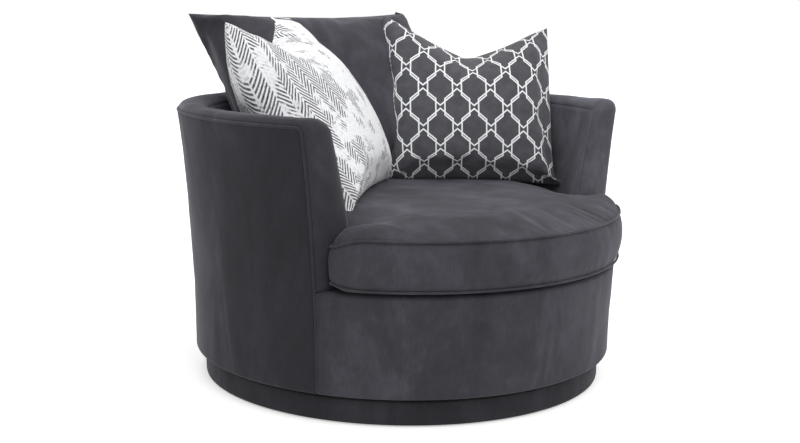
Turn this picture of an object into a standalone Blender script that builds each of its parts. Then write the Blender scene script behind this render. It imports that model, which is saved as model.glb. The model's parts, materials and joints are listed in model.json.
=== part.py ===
"""A round swivel lounge chair with loose cushions.

Metres, +Z up. The origin is on the floor, on the swivel axis. The front of the chair faces -Y.
An angle round the axis is measured from the front, and grows towards +X.
"""

import math

import bmesh
import bpy
import numpy
from mathutils import Matrix, Vector

# Clearances
SEAT_GAP = 0.0003        # between pieces that touch
RUN_GAP = 0.0006         # between round pieces that turn in each other

# Plinth
PLINTH_SETBACK = 0.025   # how far it stands back under the body
PLINTH_HEIGHT = 0.060
PLINTH_RING_WIDTH = 0.050
PLINTH_TURN_IN = 0.035   # how far its cover turns in over the top board
GLIDE_RADIUS = 0.014
GLIDE_HEIGHT = 0.006
GLIDE_COUNT = 6
BOARD = 0.018            # plywood boards

# Swivel
PLATE_SIZE = 0.305
PLATE_THICKNESS = 0.0025
BALL_RADIUS = 0.003
BALL_COUNT = 10
BALL_CIRCLE = 0.115
CAGE_WIDTH = 0.016
CAGE_THICKNESS = 0.0016
SCREW_EDGE = 0.0175      # from the middle of a screw to the edges of its plate
SCREW_RADIUS = 0.0025
SCREW_LENGTH = 0.016
SCREW_HEAD_RADIUS = 0.0055
SCREW_HEAD_HEIGHT = 0.0020
PIVOT_RADIUS = 0.006
PIVOT_HEAD_RADIUS = 0.011
PIVOT_HEAD_HEIGHT = 0.006
NUT_HEIGHT = 0.007
WASHER_THICKNESS = 0.0015
WASHER_RADIUS = 0.013
SERVICE_HOLE = 0.030     # holes in the boards round the pivot

# Shell
RIM_RADIUS = 0.580       # outside of the body at the rim seam
FLARE = 0.035            # how much further out the rim seam is than the lower edge
BODY_GAP = 0.010         # from the top of the plinth to the lower edge of the body
SHELL_HEIGHT = 0.615     # from the lower edge of the body to the rim seam
FLARE_POWER = 1.6
EDGE_ROUNDING = 0.008    # lower edge of the body
APRON_HEIGHT = 0.244     # from the lower edge of the body to the seat deck
APRON_ROUNDING = 0.012
APRON_LEDGE = 0.050      # how far the apron turns in under the cushion
ARM_REACH = 0.262        # how far the arm fronts stand in front of the swivel axis
WALL_AT_RIM = 0.065      # arm and back thickness at the rim
WALL_AT_DECK = 0.098     # and at the seat deck
INNER_POWER = 1.5
RIM_CORNER = 0.020       # rounding where the arm front meets the rim
RIM_CROWN = 0.012        # how far the band swells between its edges
RIM_ROLL = 0.003         # how far the band rolls over the inner edge, below the seam

# Layers of the upholstery
COVER = 0.003
LINER = 0.003
INSIDE_PAD = 0.020
RIM_PAD_DEPTH = 0.011    # from the seam down to the frame under the rim foam
WELT_RADIUS = 0.0035
WELT_PROUD = 0.0015

# Frame
POST_WIDTH = 0.045
POST_DEPTH = 0.030
POST_ANGLES = {
    "arm_post_right": 72.0,
    "arm_post_left": -72.0,
    "back_post_right": 126.0,
    "back_post_left": -126.0,
    "back_post_centre": 180.0,
}
FRONT_BLOCK_ANGLES = {"front_block_right": 30.0, "front_block_left": -30.0}
SEAT_HOOP_WIDTH = 0.100
ARM_BOARD = 0.015
SPRING_WIRE = 0.0038
SPRING_COUNT = 5
SPRING_SPACING = 0.130
SPRING_SWING = 0.022     # half the width of one spring
SPRING_PITCH = 0.055
DECK_PAD = 0.018
DECK_CLOTH = 0.002

# Seat cushion
CUSHION_OVERHANG = 0.012     # how far its front stands out past the apron
EAR_DEPTH = 0.041        # how far forward the corners of its ears lie
CUSHION_BACK_CLEARANCE = 0.005
EAR_CORNER = 0.012
EAR_CLEARANCE = 0.001    # from the arm fronts to the ears
BOXING = 0.107           # from welt to welt
CUSHION_SAG = 0.0105     # the underside swells down this far below the lower welt
CUSHION_CROWN = 0.045
CUSHION_BULGE = 0.004
CUSHION_WELT = 0.003

# Back cushion
BACK_SIDE_ROOM = 0.090   # from the inside of the barrel at the deck to its sides
BACK_SETOFF = 0.260      # and to the middle of its lower edge
BACK_HEIGHT = 0.540
BACK_THICKNESS = 0.270
BACK_LEAN = 30.0
BACK_DROP = 0.022        # its lower corners reach this far below the top of the seat
BACK_BEND = 0.040

# Toss pillows
WHITE_SIDE = 0.540
DARK_SIDE = 0.480
PILLOW_THICKNESS = 0.170
PILLOW_CHOP = 0.075
WHITE_ROOM = 0.330       # from the inside of the barrel at the deck to its lower edge's middle
WHITE_SETOFF = 0.211     # from there back to the lower edge of the back cushion
WHITE_TURN = 42.0
WHITE_LEAN = 33.0
DARK_ROOM = 0.200
DARK_SETOFF = 0.175
DARK_TURN = -40.0
DARK_LEAN = 22.0
PILLOW_DROP = 0.020      # their lower corners reach this far below the top of the seat

# Form of the loose cushions and pillows
FALL_POWER = 2.5         # how late their thickness falls off towards the edges
FULLNESS = 0.55
DRAWN_IN = 0.07          # how far their edges draw in between the corners, of half a side
CHOP_REACH = 0.30        # how wide a chop is, of half a side
CHOP_DEEP = 0.30         # how far down its dent runs, below the middle, of half a side
CHOP_THINNING = 4.7      # how much thinner the pillow gets, per metre of chop
WELD = 0.00002

# Facets of the turned shapes
STEPS = 40
STEP = 2 * math.pi / STEPS
CORNER_TILTS = (0.0, 30.0, 60.0, 90.0)   # facets of the corner between arm front and rim
ROW_MARGIN = 0.002

# Sizes that follow
FOOT_RADIUS = RIM_RADIUS - FLARE
PLINTH_RADIUS = FOOT_RADIUS - PLINTH_SETBACK
SCREW_SPACING = PLATE_SIZE - 2 * SCREW_EDGE
RING_TOP = PLINTH_HEIGHT - COVER + SEAT_GAP - BOARD
PLINTH_BOARD_TOP = RING_TOP + BOARD
LOWER_PLATE_TOP = PLINTH_BOARD_TOP + SEAT_GAP + PLATE_THICKNESS
BODY_BOTTOM = PLINTH_HEIGHT + BODY_GAP
UPPER_PLATE_TOP = LOWER_PLATE_TOP + 2 * BALL_RADIUS + 2 * SEAT_GAP + PLATE_THICKNESS
BOTTOM_BOARD_LOW = max(UPPER_PLATE_TOP + SEAT_GAP, BODY_BOTTOM + SEAT_GAP)
BOTTOM_BOARD_THICKNESS = 0.026
FRAME_FOOT = BOTTOM_BOARD_LOW + BOTTOM_BOARD_THICKNESS + SEAT_GAP
RIM_SEAM = BODY_BOTTOM + SHELL_HEIGHT
DECK_TOP = BODY_BOTTOM + APRON_HEIGHT
DECK_PAD_TOP = DECK_TOP - DECK_CLOTH - SEAT_GAP
SPRING_TOP = DECK_PAD_TOP - DECK_PAD - SEAT_GAP
SEAT_HOOP_TOP = SPRING_TOP - SPRING_WIRE - SEAT_GAP
FRAME_TOP = RIM_SEAM - RIM_PAD_DEPTH - SEAT_GAP
ARM_BOARD_FRONT = -(ARM_REACH - RIM_PAD_DEPTH - SEAT_GAP)
ARM_BOARD_BACK = ARM_BOARD_FRONT + ARM_BOARD
BAND_LIFT = WELT_RADIUS + SEAT_GAP
SEAT_STEP = -(ARM_REACH + BAND_LIFT + RIM_CROWN + CUSHION_BULGE + EAR_CLEARANCE)
LAYERS = COVER + LINER + 2 * SEAT_GAP
CUSHION_LOW_WELT = DECK_TOP + SEAT_GAP + CUSHION_SAG
CUSHION_TOP_WELT = CUSHION_LOW_WELT + BOXING
SEAT_TOP = CUSHION_TOP_WELT + CUSHION_CROWN


def spread(low, high, count):
    """Evenly spaced values from low to high, both included."""
    return [low + (high - low) * i / (count - 1) for i in range(count)]


def curved_radii(low, high, power, count):
    """Radii that grow from low to high, slowly at first."""
    return [low + (high - low) * share ** power for share in spread(0.0, 1.0, count)]


# The body runs straight between these rows, so that all its layers stay parallel
SHELL_ROWS = spread(BODY_BOTTOM, RIM_SEAM, 6)
SHELL_RADII = curved_radii(FOOT_RADIUS, RIM_RADIUS, FLARE_POWER, 6)


def shell_radius(z):
    """Outside of the body at a height."""
    return float(numpy.interp(z, SHELL_ROWS, SHELL_RADII))


# The inside of the barrel, and the seat cushion in it
DECK_RADIUS = shell_radius(DECK_TOP) - WALL_AT_DECK
INNER_ROWS = spread(DECK_TOP, RIM_SEAM, 5)
INNER_RADII = curved_radii(DECK_RADIUS, RIM_RADIUS - WALL_AT_RIM, INNER_POWER, 5)
CUSHION_FRONT_RADIUS = shell_radius(DECK_TOP) + CUSHION_OVERHANG
CUSHION_EAR = math.sqrt(CUSHION_FRONT_RADIUS ** 2 - (EAR_DEPTH - SEAT_STEP) ** 2)

# The loose cushions: the middles of their lower edges, in plan
BACK_WIDTH = 2 * (DECK_RADIUS - BACK_SIDE_ROOM)
BACK_PLACE = (0.0, DECK_RADIUS - BACK_SETOFF)
WHITE_PLACE = (WHITE_ROOM - DECK_RADIUS, BACK_PLACE[1] - WHITE_SETOFF)
DARK_PLACE = (DECK_RADIUS - DARK_ROOM, BACK_PLACE[1] - DARK_SETOFF)


def inner_radius(z):
    """Inside of the barrel at a height."""
    return float(numpy.interp(z, INNER_ROWS, INNER_RADII))


def heights_between(high, low, rows):
    """The heights from high down to low, with the rows that lie clear between them."""
    inside = [z for z in rows if low + ROW_MARGIN < z < high - ROW_MARGIN]
    return [high] + sorted(inside, reverse=True) + [low]


def on_facet(radius, angle):
    """A point of the faceted circle at an angle from the front, in plan."""
    low = math.floor(angle / STEP + 1e-9) * STEP
    middle = low + STEP / 2
    reach = radius * math.cos(STEP / 2) / math.cos(angle - middle)
    return Vector((reach * math.sin(angle), -reach * math.cos(angle)))


def angle_at_front(radius, reach):
    """The angle at which the faceted circle crosses the plane y = -reach."""
    low, high = 0.0, math.pi
    for _ in range(40):
        middle = (low + high) / 2
        if -on_facet(radius, middle).y > reach:
            low = middle
        else:
            high = middle
    return low


# Scene set-up

for old in list(bpy.data.objects):
    bpy.data.objects.remove(old, do_unlink=True)

chair_parts = bpy.data.collections.new("swivel_lounge_chair")
cutters = bpy.data.collections.new("cutters")
bpy.context.scene.collection.children.link(chair_parts)
bpy.context.scene.collection.children.link(cutters)


def make_material(name, colour, roughness, metallic=0.0):
    """A plain finish."""
    material = bpy.data.materials.new(name)
    material.use_nodes = True
    shader = material.node_tree.nodes["Principled BSDF"]
    shader.inputs["Base Color"].default_value = (*colour, 1.0)
    shader.inputs["Roughness"].default_value = roughness
    shader.inputs["Metallic"].default_value = metallic
    material.diffuse_color = (*colour, 1.0)
    return material


VELVET = make_material("charcoal_velvet", (0.050, 0.049, 0.057), 0.80)
TRELLIS = make_material("trellis_cloth", (0.045, 0.045, 0.052), 0.85)
WHITE_CLOTH = make_material("herringbone_cloth", (0.78, 0.78, 0.79), 0.85)
PLYWOOD = make_material("plywood", (0.55, 0.40, 0.24), 0.60)
TIMBER = make_material("timber", (0.60, 0.46, 0.28), 0.65)
FIBREBOARD = make_material("fibreboard", (0.32, 0.24, 0.16), 0.80)
FOAM = make_material("foam", (0.82, 0.76, 0.60), 0.90)
STEEL = make_material("zinc_plated_steel", (0.60, 0.61, 0.63), 0.35, 1.0)
SPRING_STEEL = make_material("spring_steel", (0.25, 0.25, 0.26), 0.40, 1.0)
PLASTIC = make_material("black_plastic", (0.03, 0.03, 0.03), 0.50)
LINING = make_material("black_lining", (0.03, 0.03, 0.032), 0.90)


def add_empty(name, place, parent=None):
    """An axis that pieces move on."""
    empty = bpy.data.objects.new(name, None)
    empty.empty_display_size = 0.1
    chair_parts.objects.link(empty)
    empty.matrix_world = Matrix.Translation(place)
    if parent:
        keep_place(empty, parent)
    return empty


def keep_place(obj, parent):
    """Parent an object and leave it where it is."""
    world = obj.matrix_world.copy()
    bpy.context.view_layer.update()
    obj.parent = parent
    obj.matrix_parent_inverse = parent.matrix_world.inverted()
    obj.matrix_world = world


def add_object(name, data, material, parent):
    """Put a mesh or a curve into the chair."""
    obj = bpy.data.objects.new(name, data)
    data.materials.append(material)
    chair_parts.objects.link(obj)
    keep_place(obj, parent)
    return obj


def mesh_from(bm, name, smooth=True):
    """Turn a bmesh into mesh data, shaded smooth with sharp edges kept."""
    bmesh.ops.recalc_face_normals(bm, faces=bm.faces)
    mesh = bpy.data.meshes.new(name)
    bm.to_mesh(mesh)
    bm.free()
    if smooth:
        mesh.shade_smooth()
        mesh.set_sharp_from_angle(angle=math.radians(40))
    return mesh


def profile_mesh(name, points, closed):
    """A profile in the XZ plane, as loose edges."""
    bm = bmesh.new()
    verts = [bm.verts.new((x, 0.0, z)) for x, z in points]
    for a, b in zip(verts, verts[1:]):
        bm.edges.new((a, b))
    if closed:
        bm.edges.new((verts[-1], verts[0]))
    mesh = bpy.data.meshes.new(name)
    bm.to_mesh(mesh)
    bm.free()
    return mesh


def turned(name, points, material, parent, closed=False, steps=STEPS, place=None):
    """A profile turned round Z."""
    obj = add_object(name, profile_mesh(name, points, closed), material, parent)
    if place is not None:
        obj.matrix_world = Matrix.Translation(place)
    screw = obj.modifiers.new("turn", "SCREW")
    screw.axis = "Z"
    screw.angle = 2 * math.pi
    screw.steps = steps
    screw.render_steps = steps
    screw.use_merge_vertices = True
    screw.merge_threshold = 0.00001
    screw.use_smooth_shade = True
    return obj


def ring_profile(inner, outer, low, high):
    """The closed profile of a flat ring."""
    return [(outer, high), (outer, low), (inner, low), (inner, high)]


def wall_profile(radius_at, heights, outset, thickness):
    """The closed profile of a wall that follows a radius, outset from it, top to bottom."""
    outer = [(radius_at(z) + outset, z) for z in heights]
    return outer + [(x - thickness, z) for x, z in reversed(outer)]


def cut(obj, cutter):
    """Take a cutter away from an object."""
    boolean = obj.modifiers.new("cut_" + cutter.name, "BOOLEAN")
    boolean.operation = "DIFFERENCE"
    boolean.object = cutter
    return boolean


def add_cutter(name, mesh):
    """Put a cutting shape out of sight."""
    cutter = bpy.data.objects.new(name, mesh)
    cutters.objects.link(cutter)
    cutter.hide_render = True
    cutter.display_type = "WIRE"
    return cutter


def box_cutter(name, low, high):
    """A box that cuts."""
    bm = bmesh.new()
    bmesh.ops.create_cube(bm, size=1.0)
    size = Vector(high) - Vector(low)
    middle = (Vector(high) + Vector(low)) / 2
    bmesh.ops.scale(bm, vec=size, verts=bm.verts)
    bmesh.ops.translate(bm, vec=middle, verts=bm.verts)
    return add_cutter(name, mesh_from(bm, name, smooth=False))


def rod_cutter(name, radius, low, high, place=(0.0, 0.0), sides=12):
    """An upright round bar that cuts."""
    bm = bmesh.new()
    bmesh.ops.create_cone(
        bm, cap_ends=True, segments=sides, radius1=radius, radius2=radius, depth=high - low
    )
    bmesh.ops.translate(bm, vec=(place[0], place[1], (low + high) / 2), verts=bm.verts)
    return add_cutter(name, mesh_from(bm, name, smooth=False))


def front_cutter(name, y):
    """Takes away everything in front of a plane."""
    far = 2 * RIM_RADIUS
    return box_cutter(name, (-far, -far, -far), (far, y, far))


def arm_cutter(name, inset):
    """Takes away what lies outside the side view of the arm, inset from its seam."""
    far = 2 * RIM_RADIUS
    radius = RIM_CORNER - inset
    middle_y = RIM_CORNER - ARM_REACH
    middle_z = RIM_SEAM - RIM_CORNER
    outline = [(-far, -far), (middle_y - radius, -far)]
    for degrees in CORNER_TILTS:
        tilt = math.radians(degrees)
        outline.append((middle_y - radius * math.cos(tilt), middle_z + radius * math.sin(tilt)))
    outline += [(middle_y, far), (-far, far)]
    bm = bmesh.new()
    ends = [[bm.verts.new((x, y, z)) for y, z in outline] for x in (-far, far)]
    for i in range(len(outline)):
        j = (i + 1) % len(outline)
        bm.faces.new((ends[0][i], ends[0][j], ends[1][j], ends[1][i]))
    bm.faces.new(ends[0])
    bm.faces.new(ends[1])
    return add_cutter(name, mesh_from(bm, name, smooth=False))


def rear_cutter(name, y):
    """Takes away everything behind a plane."""
    far = 2 * RIM_RADIUS
    return box_cutter(name, (-far, y, -far), (far, far, far))


def grown_cutter(name, source, gap=SEAT_GAP):
    """The shape of another piece, a little larger all round."""
    bpy.context.view_layer.update()
    evaluated = source.evaluated_get(bpy.context.evaluated_depsgraph_get())
    mesh = bpy.data.meshes.new_from_object(evaluated)
    mesh.transform(source.matrix_world)
    bm = bmesh.new()
    bm.from_mesh(mesh)
    bmesh.ops.remove_doubles(bm, verts=bm.verts, dist=WELD)
    bm.normal_update()
    most = 6.0
    shifts = [vert.normal * (gap * min(vert.calc_shell_factor(), most)) for vert in bm.verts]
    for vert, shift in zip(bm.verts, shifts):
        vert.co += shift
    bm.to_mesh(mesh)
    bm.free()
    return add_cutter(name, mesh)


def box(name, low, high, material, parent):
    """A square-edged block."""
    bm = bmesh.new()
    bmesh.ops.create_cube(bm, size=1.0)
    bmesh.ops.scale(bm, vec=Vector(high) - Vector(low), verts=bm.verts)
    bmesh.ops.translate(bm, vec=(Vector(high) + Vector(low)) / 2, verts=bm.verts)
    return add_object(name, mesh_from(bm, name, smooth=False), material, parent)


def flat(name, outline, low, high, material, parent):
    """A flat outline in plan, given a thickness."""
    curve = bpy.data.curves.new(name, "CURVE")
    curve.dimensions = "2D"
    curve.fill_mode = "BOTH"
    curve.extrude = (high - low) / 2
    spline = curve.splines.new("POLY")
    spline.points.add(len(outline) - 1)
    for point, (x, y) in zip(spline.points, outline):
        point.co = (x, y, 0.0, 1.0)
    spline.use_cyclic_u = True
    obj = add_object(name, curve, material, parent)
    obj.matrix_world = Matrix.Translation((0.0, 0.0, (low + high) / 2))
    return obj


def tube(name, points, radius, material, parent, closed=False, resolution=1):
    """A round cord or wire along points."""
    curve = bpy.data.curves.new(name, "CURVE")
    curve.dimensions = "3D"
    curve.bevel_depth = radius
    curve.bevel_resolution = resolution
    curve.render_resolution_u = 0
    curve.use_fill_caps = not closed
    spline = curve.splines.new("POLY")
    spline.points.add(len(points) - 1)
    for point, place in zip(spline.points, points):
        point.co = (*place, 1.0)
    spline.use_cyclic_u = closed
    return add_object(name, curve, material, parent)


def loft(name, rings, material, parent):
    """A solid through a row of rings with the same number of points."""
    bm = bmesh.new()
    rows = [[bm.verts.new(point) for point in ring] for ring in rings]
    count = len(rows[0])
    for a, b in zip(rows, rows[1:]):
        for i in range(count):
            j = (i + 1) % count
            bm.faces.new((a[i], a[j], b[j], b[i]))
    bmesh.ops.triangulate(bm, faces=bm.faces)
    bm.faces.new(rows[0])
    bm.faces.new(rows[-1])
    return add_object(name, mesh_from(bm, name), material, parent)


# What moves on what

swivel_axis = add_empty("swivel_axis", (0.0, 0.0, 0.0))
cage_axis = add_empty("cage_axis", (0.0, 0.0, 0.0))
base = add_empty("base", (0.0, 0.0, 0.0))
seat_lift = add_empty("seat_lift", (0.0, 0.0, DECK_TOP), swivel_axis)
back_lift = add_empty("back_lift", (*BACK_PLACE, SEAT_TOP), seat_lift)
white_lift = add_empty("white_lift", (*WHITE_PLACE, SEAT_TOP), back_lift)
dark_lift = add_empty("dark_lift", (*DARK_PLACE, SEAT_TOP), back_lift)


def screw_places():
    """Where the four screws of a swivel plate go, in plan."""
    half = SCREW_SPACING / 2
    return [(half, half), (-half, half), (-half, -half), (half, -half)]


def build_plinth():
    """The ring, board, cover and glides that stand on the floor."""
    board_radius = PLINTH_RADIUS - COVER
    ring = ring_profile(board_radius - PLINTH_RING_WIDTH, board_radius, GLIDE_HEIGHT + SEAT_GAP,
                        RING_TOP - SEAT_GAP)
    turned("plinth_ring", ring, PLYWOOD, base, closed=True)
    top_board = turned(
        "plinth_top_board",
        ring_profile(SERVICE_HOLE, board_radius, RING_TOP, PLINTH_BOARD_TOP - SEAT_GAP),
        PLYWOOD, base, closed=True,
    )
    for number, place in enumerate(screw_places()):
        hole = rod_cutter("plinth_hole_%d" % number, SCREW_RADIUS + SEAT_GAP,
                          RING_TOP - BOARD, PLINTH_BOARD_TOP + BOARD, place)
        cut(top_board, hole)
    cover_inside = board_radius + SEAT_GAP
    cover = [
        (PLINTH_RADIUS - PLINTH_TURN_IN, PLINTH_HEIGHT),
        (PLINTH_RADIUS - COVER, PLINTH_HEIGHT),
        (PLINTH_RADIUS, PLINTH_HEIGHT - COVER),
        (PLINTH_RADIUS, GLIDE_HEIGHT / 2),
        (cover_inside, GLIDE_HEIGHT / 2),
        (cover_inside, PLINTH_BOARD_TOP),
        (PLINTH_RADIUS - PLINTH_TURN_IN, PLINTH_BOARD_TOP),
    ]
    turned("plinth_cover", cover, VELVET, base, closed=True)
    circle = board_radius - PLINTH_RING_WIDTH / 2
    glide_profile = [
        (0.0, GLIDE_HEIGHT),
        (GLIDE_RADIUS, GLIDE_HEIGHT),
        (GLIDE_RADIUS * 0.85, 0.0),
        (0.0, 0.0),
    ]
    for number in range(GLIDE_COUNT):
        angle = 2 * math.pi * number / GLIDE_COUNT
        place = (circle * math.sin(angle), -circle * math.cos(angle), 0.0)
        turned("glide_%d" % (number + 1), glide_profile, PLASTIC, base, steps=12, place=place)


def swivel_plate(name, low, parent, hole):
    """A square steel plate with a hole for the pivot and four for its screws."""
    half = PLATE_SIZE / 2
    plate = box(name, (-half, -half, low), (half, half, low + PLATE_THICKNESS), STEEL, parent)
    cut(plate, rod_cutter(name + "_pivot_hole", hole, low - BOARD, low + BOARD, sides=16))
    for number, place in enumerate(screw_places()):
        cut(plate, rod_cutter("%s_hole_%d" % (name, number), SCREW_RADIUS + SEAT_GAP,
                              low - BOARD, low + BOARD, place))
    return plate


def build_swivel():
    """Two plates, the balls between them, and what fastens them."""
    lower_low = PLINTH_BOARD_TOP
    upper_low = UPPER_PLATE_TOP - PLATE_THICKNESS
    swivel_plate("swivel_lower_plate", lower_low, base, PIVOT_RADIUS + SEAT_GAP)
    swivel_plate("swivel_upper_plate", upper_low, swivel_axis, PIVOT_RADIUS + RUN_GAP)
    screw = [
        (0.0, SCREW_HEAD_HEIGHT),
        (SCREW_HEAD_RADIUS * 0.6, SCREW_HEAD_HEIGHT),
        (SCREW_HEAD_RADIUS, 0.0),
        (SCREW_RADIUS, 0.0),
        (SCREW_RADIUS, -SCREW_LENGTH),
        (0.0, -SCREW_LENGTH),
    ]
    upside_down = [(x, -z) for x, z in reversed(screw)]
    for number, (x, y) in enumerate(screw_places()):
        turned("lower_screw_%d" % (number + 1), screw, STEEL, base, steps=10,
               place=(x, y, LOWER_PLATE_TOP))
        turned("upper_screw_%d" % (number + 1), upside_down, STEEL, swivel_axis, steps=10,
               place=(x, y, upper_low - SEAT_GAP))
    nut_low = UPPER_PLATE_TOP + WASHER_THICKNESS + 2 * SEAT_GAP
    bolt = [
        (0.0, nut_low + NUT_HEIGHT + PIVOT_RADIUS / 2),
        (PIVOT_RADIUS, nut_low + NUT_HEIGHT + PIVOT_RADIUS / 2),
        (PIVOT_RADIUS, lower_low - SEAT_GAP),
        (PIVOT_HEAD_RADIUS, lower_low - SEAT_GAP),
        (PIVOT_HEAD_RADIUS, lower_low - SEAT_GAP - PIVOT_HEAD_HEIGHT),
        (0.0, lower_low - SEAT_GAP - PIVOT_HEAD_HEIGHT),
    ]
    turned("pivot_bolt", bolt, STEEL, base, steps=16)
    bore = PIVOT_RADIUS + SEAT_GAP
    washer_low = UPPER_PLATE_TOP + SEAT_GAP
    turned("pivot_washer", ring_profile(bore, WASHER_RADIUS, washer_low,
                                        washer_low + WASHER_THICKNESS),
           STEEL, base, closed=True, steps=16)
    nut_profile = [
        (0.0, nut_low + NUT_HEIGHT),
        (PIVOT_HEAD_RADIUS, nut_low + NUT_HEIGHT),
        (PIVOT_HEAD_RADIUS, nut_low),
        (0.0, nut_low),
    ]
    nut = turned("pivot_nut", nut_profile, STEEL, base, steps=6)
    nut.modifiers["turn"].use_smooth_shade = False
    cut(nut, rod_cutter("nut_bore", bore, nut_low - NUT_HEIGHT, nut_low + 2 * NUT_HEIGHT,
                        sides=16))


def build_ball_cage():
    """A flat ring with the balls that it carries round between the plates."""
    middle = (LOWER_PLATE_TOP + UPPER_PLATE_TOP - PLATE_THICKNESS) / 2
    cage = turned(
        "ball_cage",
        ring_profile(BALL_CIRCLE - CAGE_WIDTH / 2, BALL_CIRCLE + CAGE_WIDTH / 2,
                     middle - CAGE_THICKNESS / 2, middle + CAGE_THICKNESS / 2),
        STEEL, cage_axis, closed=True, steps=2 * BALL_COUNT,
    )
    for number in range(BALL_COUNT):
        angle = 2 * math.pi * (number + 0.5) / BALL_COUNT
        bm = bmesh.new()
        bmesh.ops.create_uvsphere(bm, u_segments=6, v_segments=4, radius=BALL_RADIUS)
        place = (BALL_CIRCLE * math.sin(angle), -BALL_CIRCLE * math.cos(angle), middle)
        bmesh.ops.translate(bm, vec=place, verts=bm.verts)
        ball = add_cutter("ball_%d" % number, mesh_from(bm, "ball_%d" % number))
        joined = cage.modifiers.new("ball_%d" % number, "BOOLEAN")
        joined.operation = "UNION"
        joined.object = ball


def build_bottom():
    """The board that everything above stands on, and the cloth under it."""
    top = FRAME_FOOT - SEAT_GAP
    radius = shell_radius(FRAME_FOOT) - LAYERS - SEAT_GAP
    rounding = EDGE_ROUNDING + COVER
    board = turned(
        "bottom_board",
        [
            (radius, top),
            (radius, BOTTOM_BOARD_LOW + rounding),
            (radius - rounding, BOTTOM_BOARD_LOW),
            (SERVICE_HOLE, BOTTOM_BOARD_LOW),
            (SERVICE_HOLE, top),
        ],
        PLYWOOD, swivel_axis, closed=True,
    )
    for number, place in enumerate(screw_places()):
        cut(board, rod_cutter("bottom_hole_%d" % number, SCREW_RADIUS + SEAT_GAP,
                              BOTTOM_BOARD_LOW - BOARD, top + BOARD, place))
    plate_reach = PLATE_SIZE / math.sqrt(2) + 2 * RUN_GAP
    cloth_top = BOTTOM_BOARD_LOW - SEAT_GAP
    turned("dust_cover",
           ring_profile(plate_reach, radius - 2 * rounding, cloth_top - DECK_CLOTH, cloth_top),
           LINING, swivel_axis, closed=True)


def post_reach(z):
    """Where the outer face of a post runs: straight, and just inside the flaring liner."""
    middle = (FRAME_FOOT + FRAME_TOP) / 2
    slope = (shell_radius(middle + BOARD) - shell_radius(middle - BOARD)) / (2 * BOARD)
    inside = (shell_radius(middle) - LAYERS) * math.cos(STEP / 2) - SEAT_GAP
    return inside - POST_WIDTH / 2 * math.tan(STEP / 2) + slope * (z - middle)


def add_post(name, degrees, low, high, outer_low, outer_high, depth, width):
    """An upright that may lean out with the flare of the shell."""
    bm = bmesh.new()
    bmesh.ops.create_cube(bm, size=1.0)
    for vert in bm.verts:
        up = vert.co.z > 0
        outer = outer_high if up else outer_low
        reach = outer if vert.co.y < 0 else outer - depth
        vert.co = Vector((width * vert.co.x, -reach, high if up else low))
    turn = Matrix.Rotation(math.radians(degrees), 4, "Z")
    bmesh.ops.transform(bm, matrix=turn, verts=bm.verts)
    add_object(name, mesh_from(bm, name, smooth=False), TIMBER, swivel_axis)


def build_frame():
    """Posts, hoops, the front rail and the arm front boards."""
    hoop_low = SEAT_HOOP_TOP - BOARD
    top_hoop_low = FRAME_TOP - BOARD
    for name, degrees in POST_ANGLES.items():
        add_post(name, degrees, FRAME_FOOT, top_hoop_low - SEAT_GAP, post_reach(FRAME_FOOT),
                 post_reach(top_hoop_low), POST_DEPTH, POST_WIDTH)
    hoop_radius = post_reach(hoop_low) - POST_DEPTH - SEAT_GAP
    hoop_hole = hoop_radius - SEAT_HOOP_WIDTH
    turned("seat_hoop", ring_profile(hoop_hole, hoop_radius, hoop_low, SEAT_HOOP_TOP),
           PLYWOOD, swivel_axis, closed=True)
    block_reach = hoop_radius - SEAT_HOOP_WIDTH / 4
    for name, degrees in FRONT_BLOCK_ANGLES.items():
        add_post(name, degrees, FRAME_FOOT, hoop_low - SEAT_GAP, block_reach, block_reach,
                 POST_DEPTH, POST_WIDTH)
    top_hoop = turned(
        "top_hoop",
        ring_profile(inner_radius(FRAME_TOP) + COVER + INSIDE_PAD + 2 * SEAT_GAP,
                     shell_radius(top_hoop_low) - LAYERS - SEAT_GAP, top_hoop_low, FRAME_TOP),
        PLYWOOD, swivel_axis, closed=True,
    )
    cut(top_hoop, front_cutter("top_hoop_front", ARM_BOARD_BACK + SEAT_GAP))
    rail_top = DECK_TOP - COVER - SEAT_GAP
    rail_heights = heights_between(rail_top - APRON_ROUNDING, FRAME_FOOT, SHELL_ROWS)
    rail = wall_profile(shell_radius, rail_heights, -COVER - SEAT_GAP, BOARD)
    rail.insert(0, (shell_radius(DECK_TOP) - APRON_ROUNDING - 2 * SEAT_GAP, rail_top))
    rail.append((rail[-1][0], rail_top))
    front_rail = turned("front_rail", rail, PLYWOOD, swivel_axis, closed=True)
    cut(front_rail, rear_cutter("front_rail_rear", -(ARM_REACH + BAND_LIFT)))
    build_arm_boards()


def build_arm_boards():
    """The panels that close the arm fronts, between the liner and the inside cover."""
    corner = RIM_CORNER - RIM_PAD_DEPTH
    slices = (
        (ARM_BOARD_FRONT, FRAME_TOP - corner),
        (ARM_BOARD_FRONT + corner, FRAME_TOP),
        (ARM_BOARD_BACK, FRAME_TOP),
    )
    for name, side in (("arm_front_board_right", 1), ("arm_front_board_left", -1)):
        rings = []
        for y, top in slices:
            outer = []
            inner = []
            for z in heights_between(top, SEAT_HOOP_TOP + SEAT_GAP, SHELL_ROWS + INNER_ROWS[:-1]):
                shell = shell_radius(z) - LAYERS - SEAT_GAP
                wall = inner_radius(z) + COVER + SEAT_GAP
                front = on_facet(shell, angle_at_front(shell, -ARM_BOARD_FRONT))
                back = on_facet(wall, angle_at_front(wall, -ARM_BOARD_BACK))
                outer.append((side * (front.x - RUN_GAP), y, z))
                inner.append((side * (back.x + RUN_GAP), y, z))
            rings.append(outer + inner[::-1])
        loft(name, rings, PLYWOOD, swivel_axis)


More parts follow.
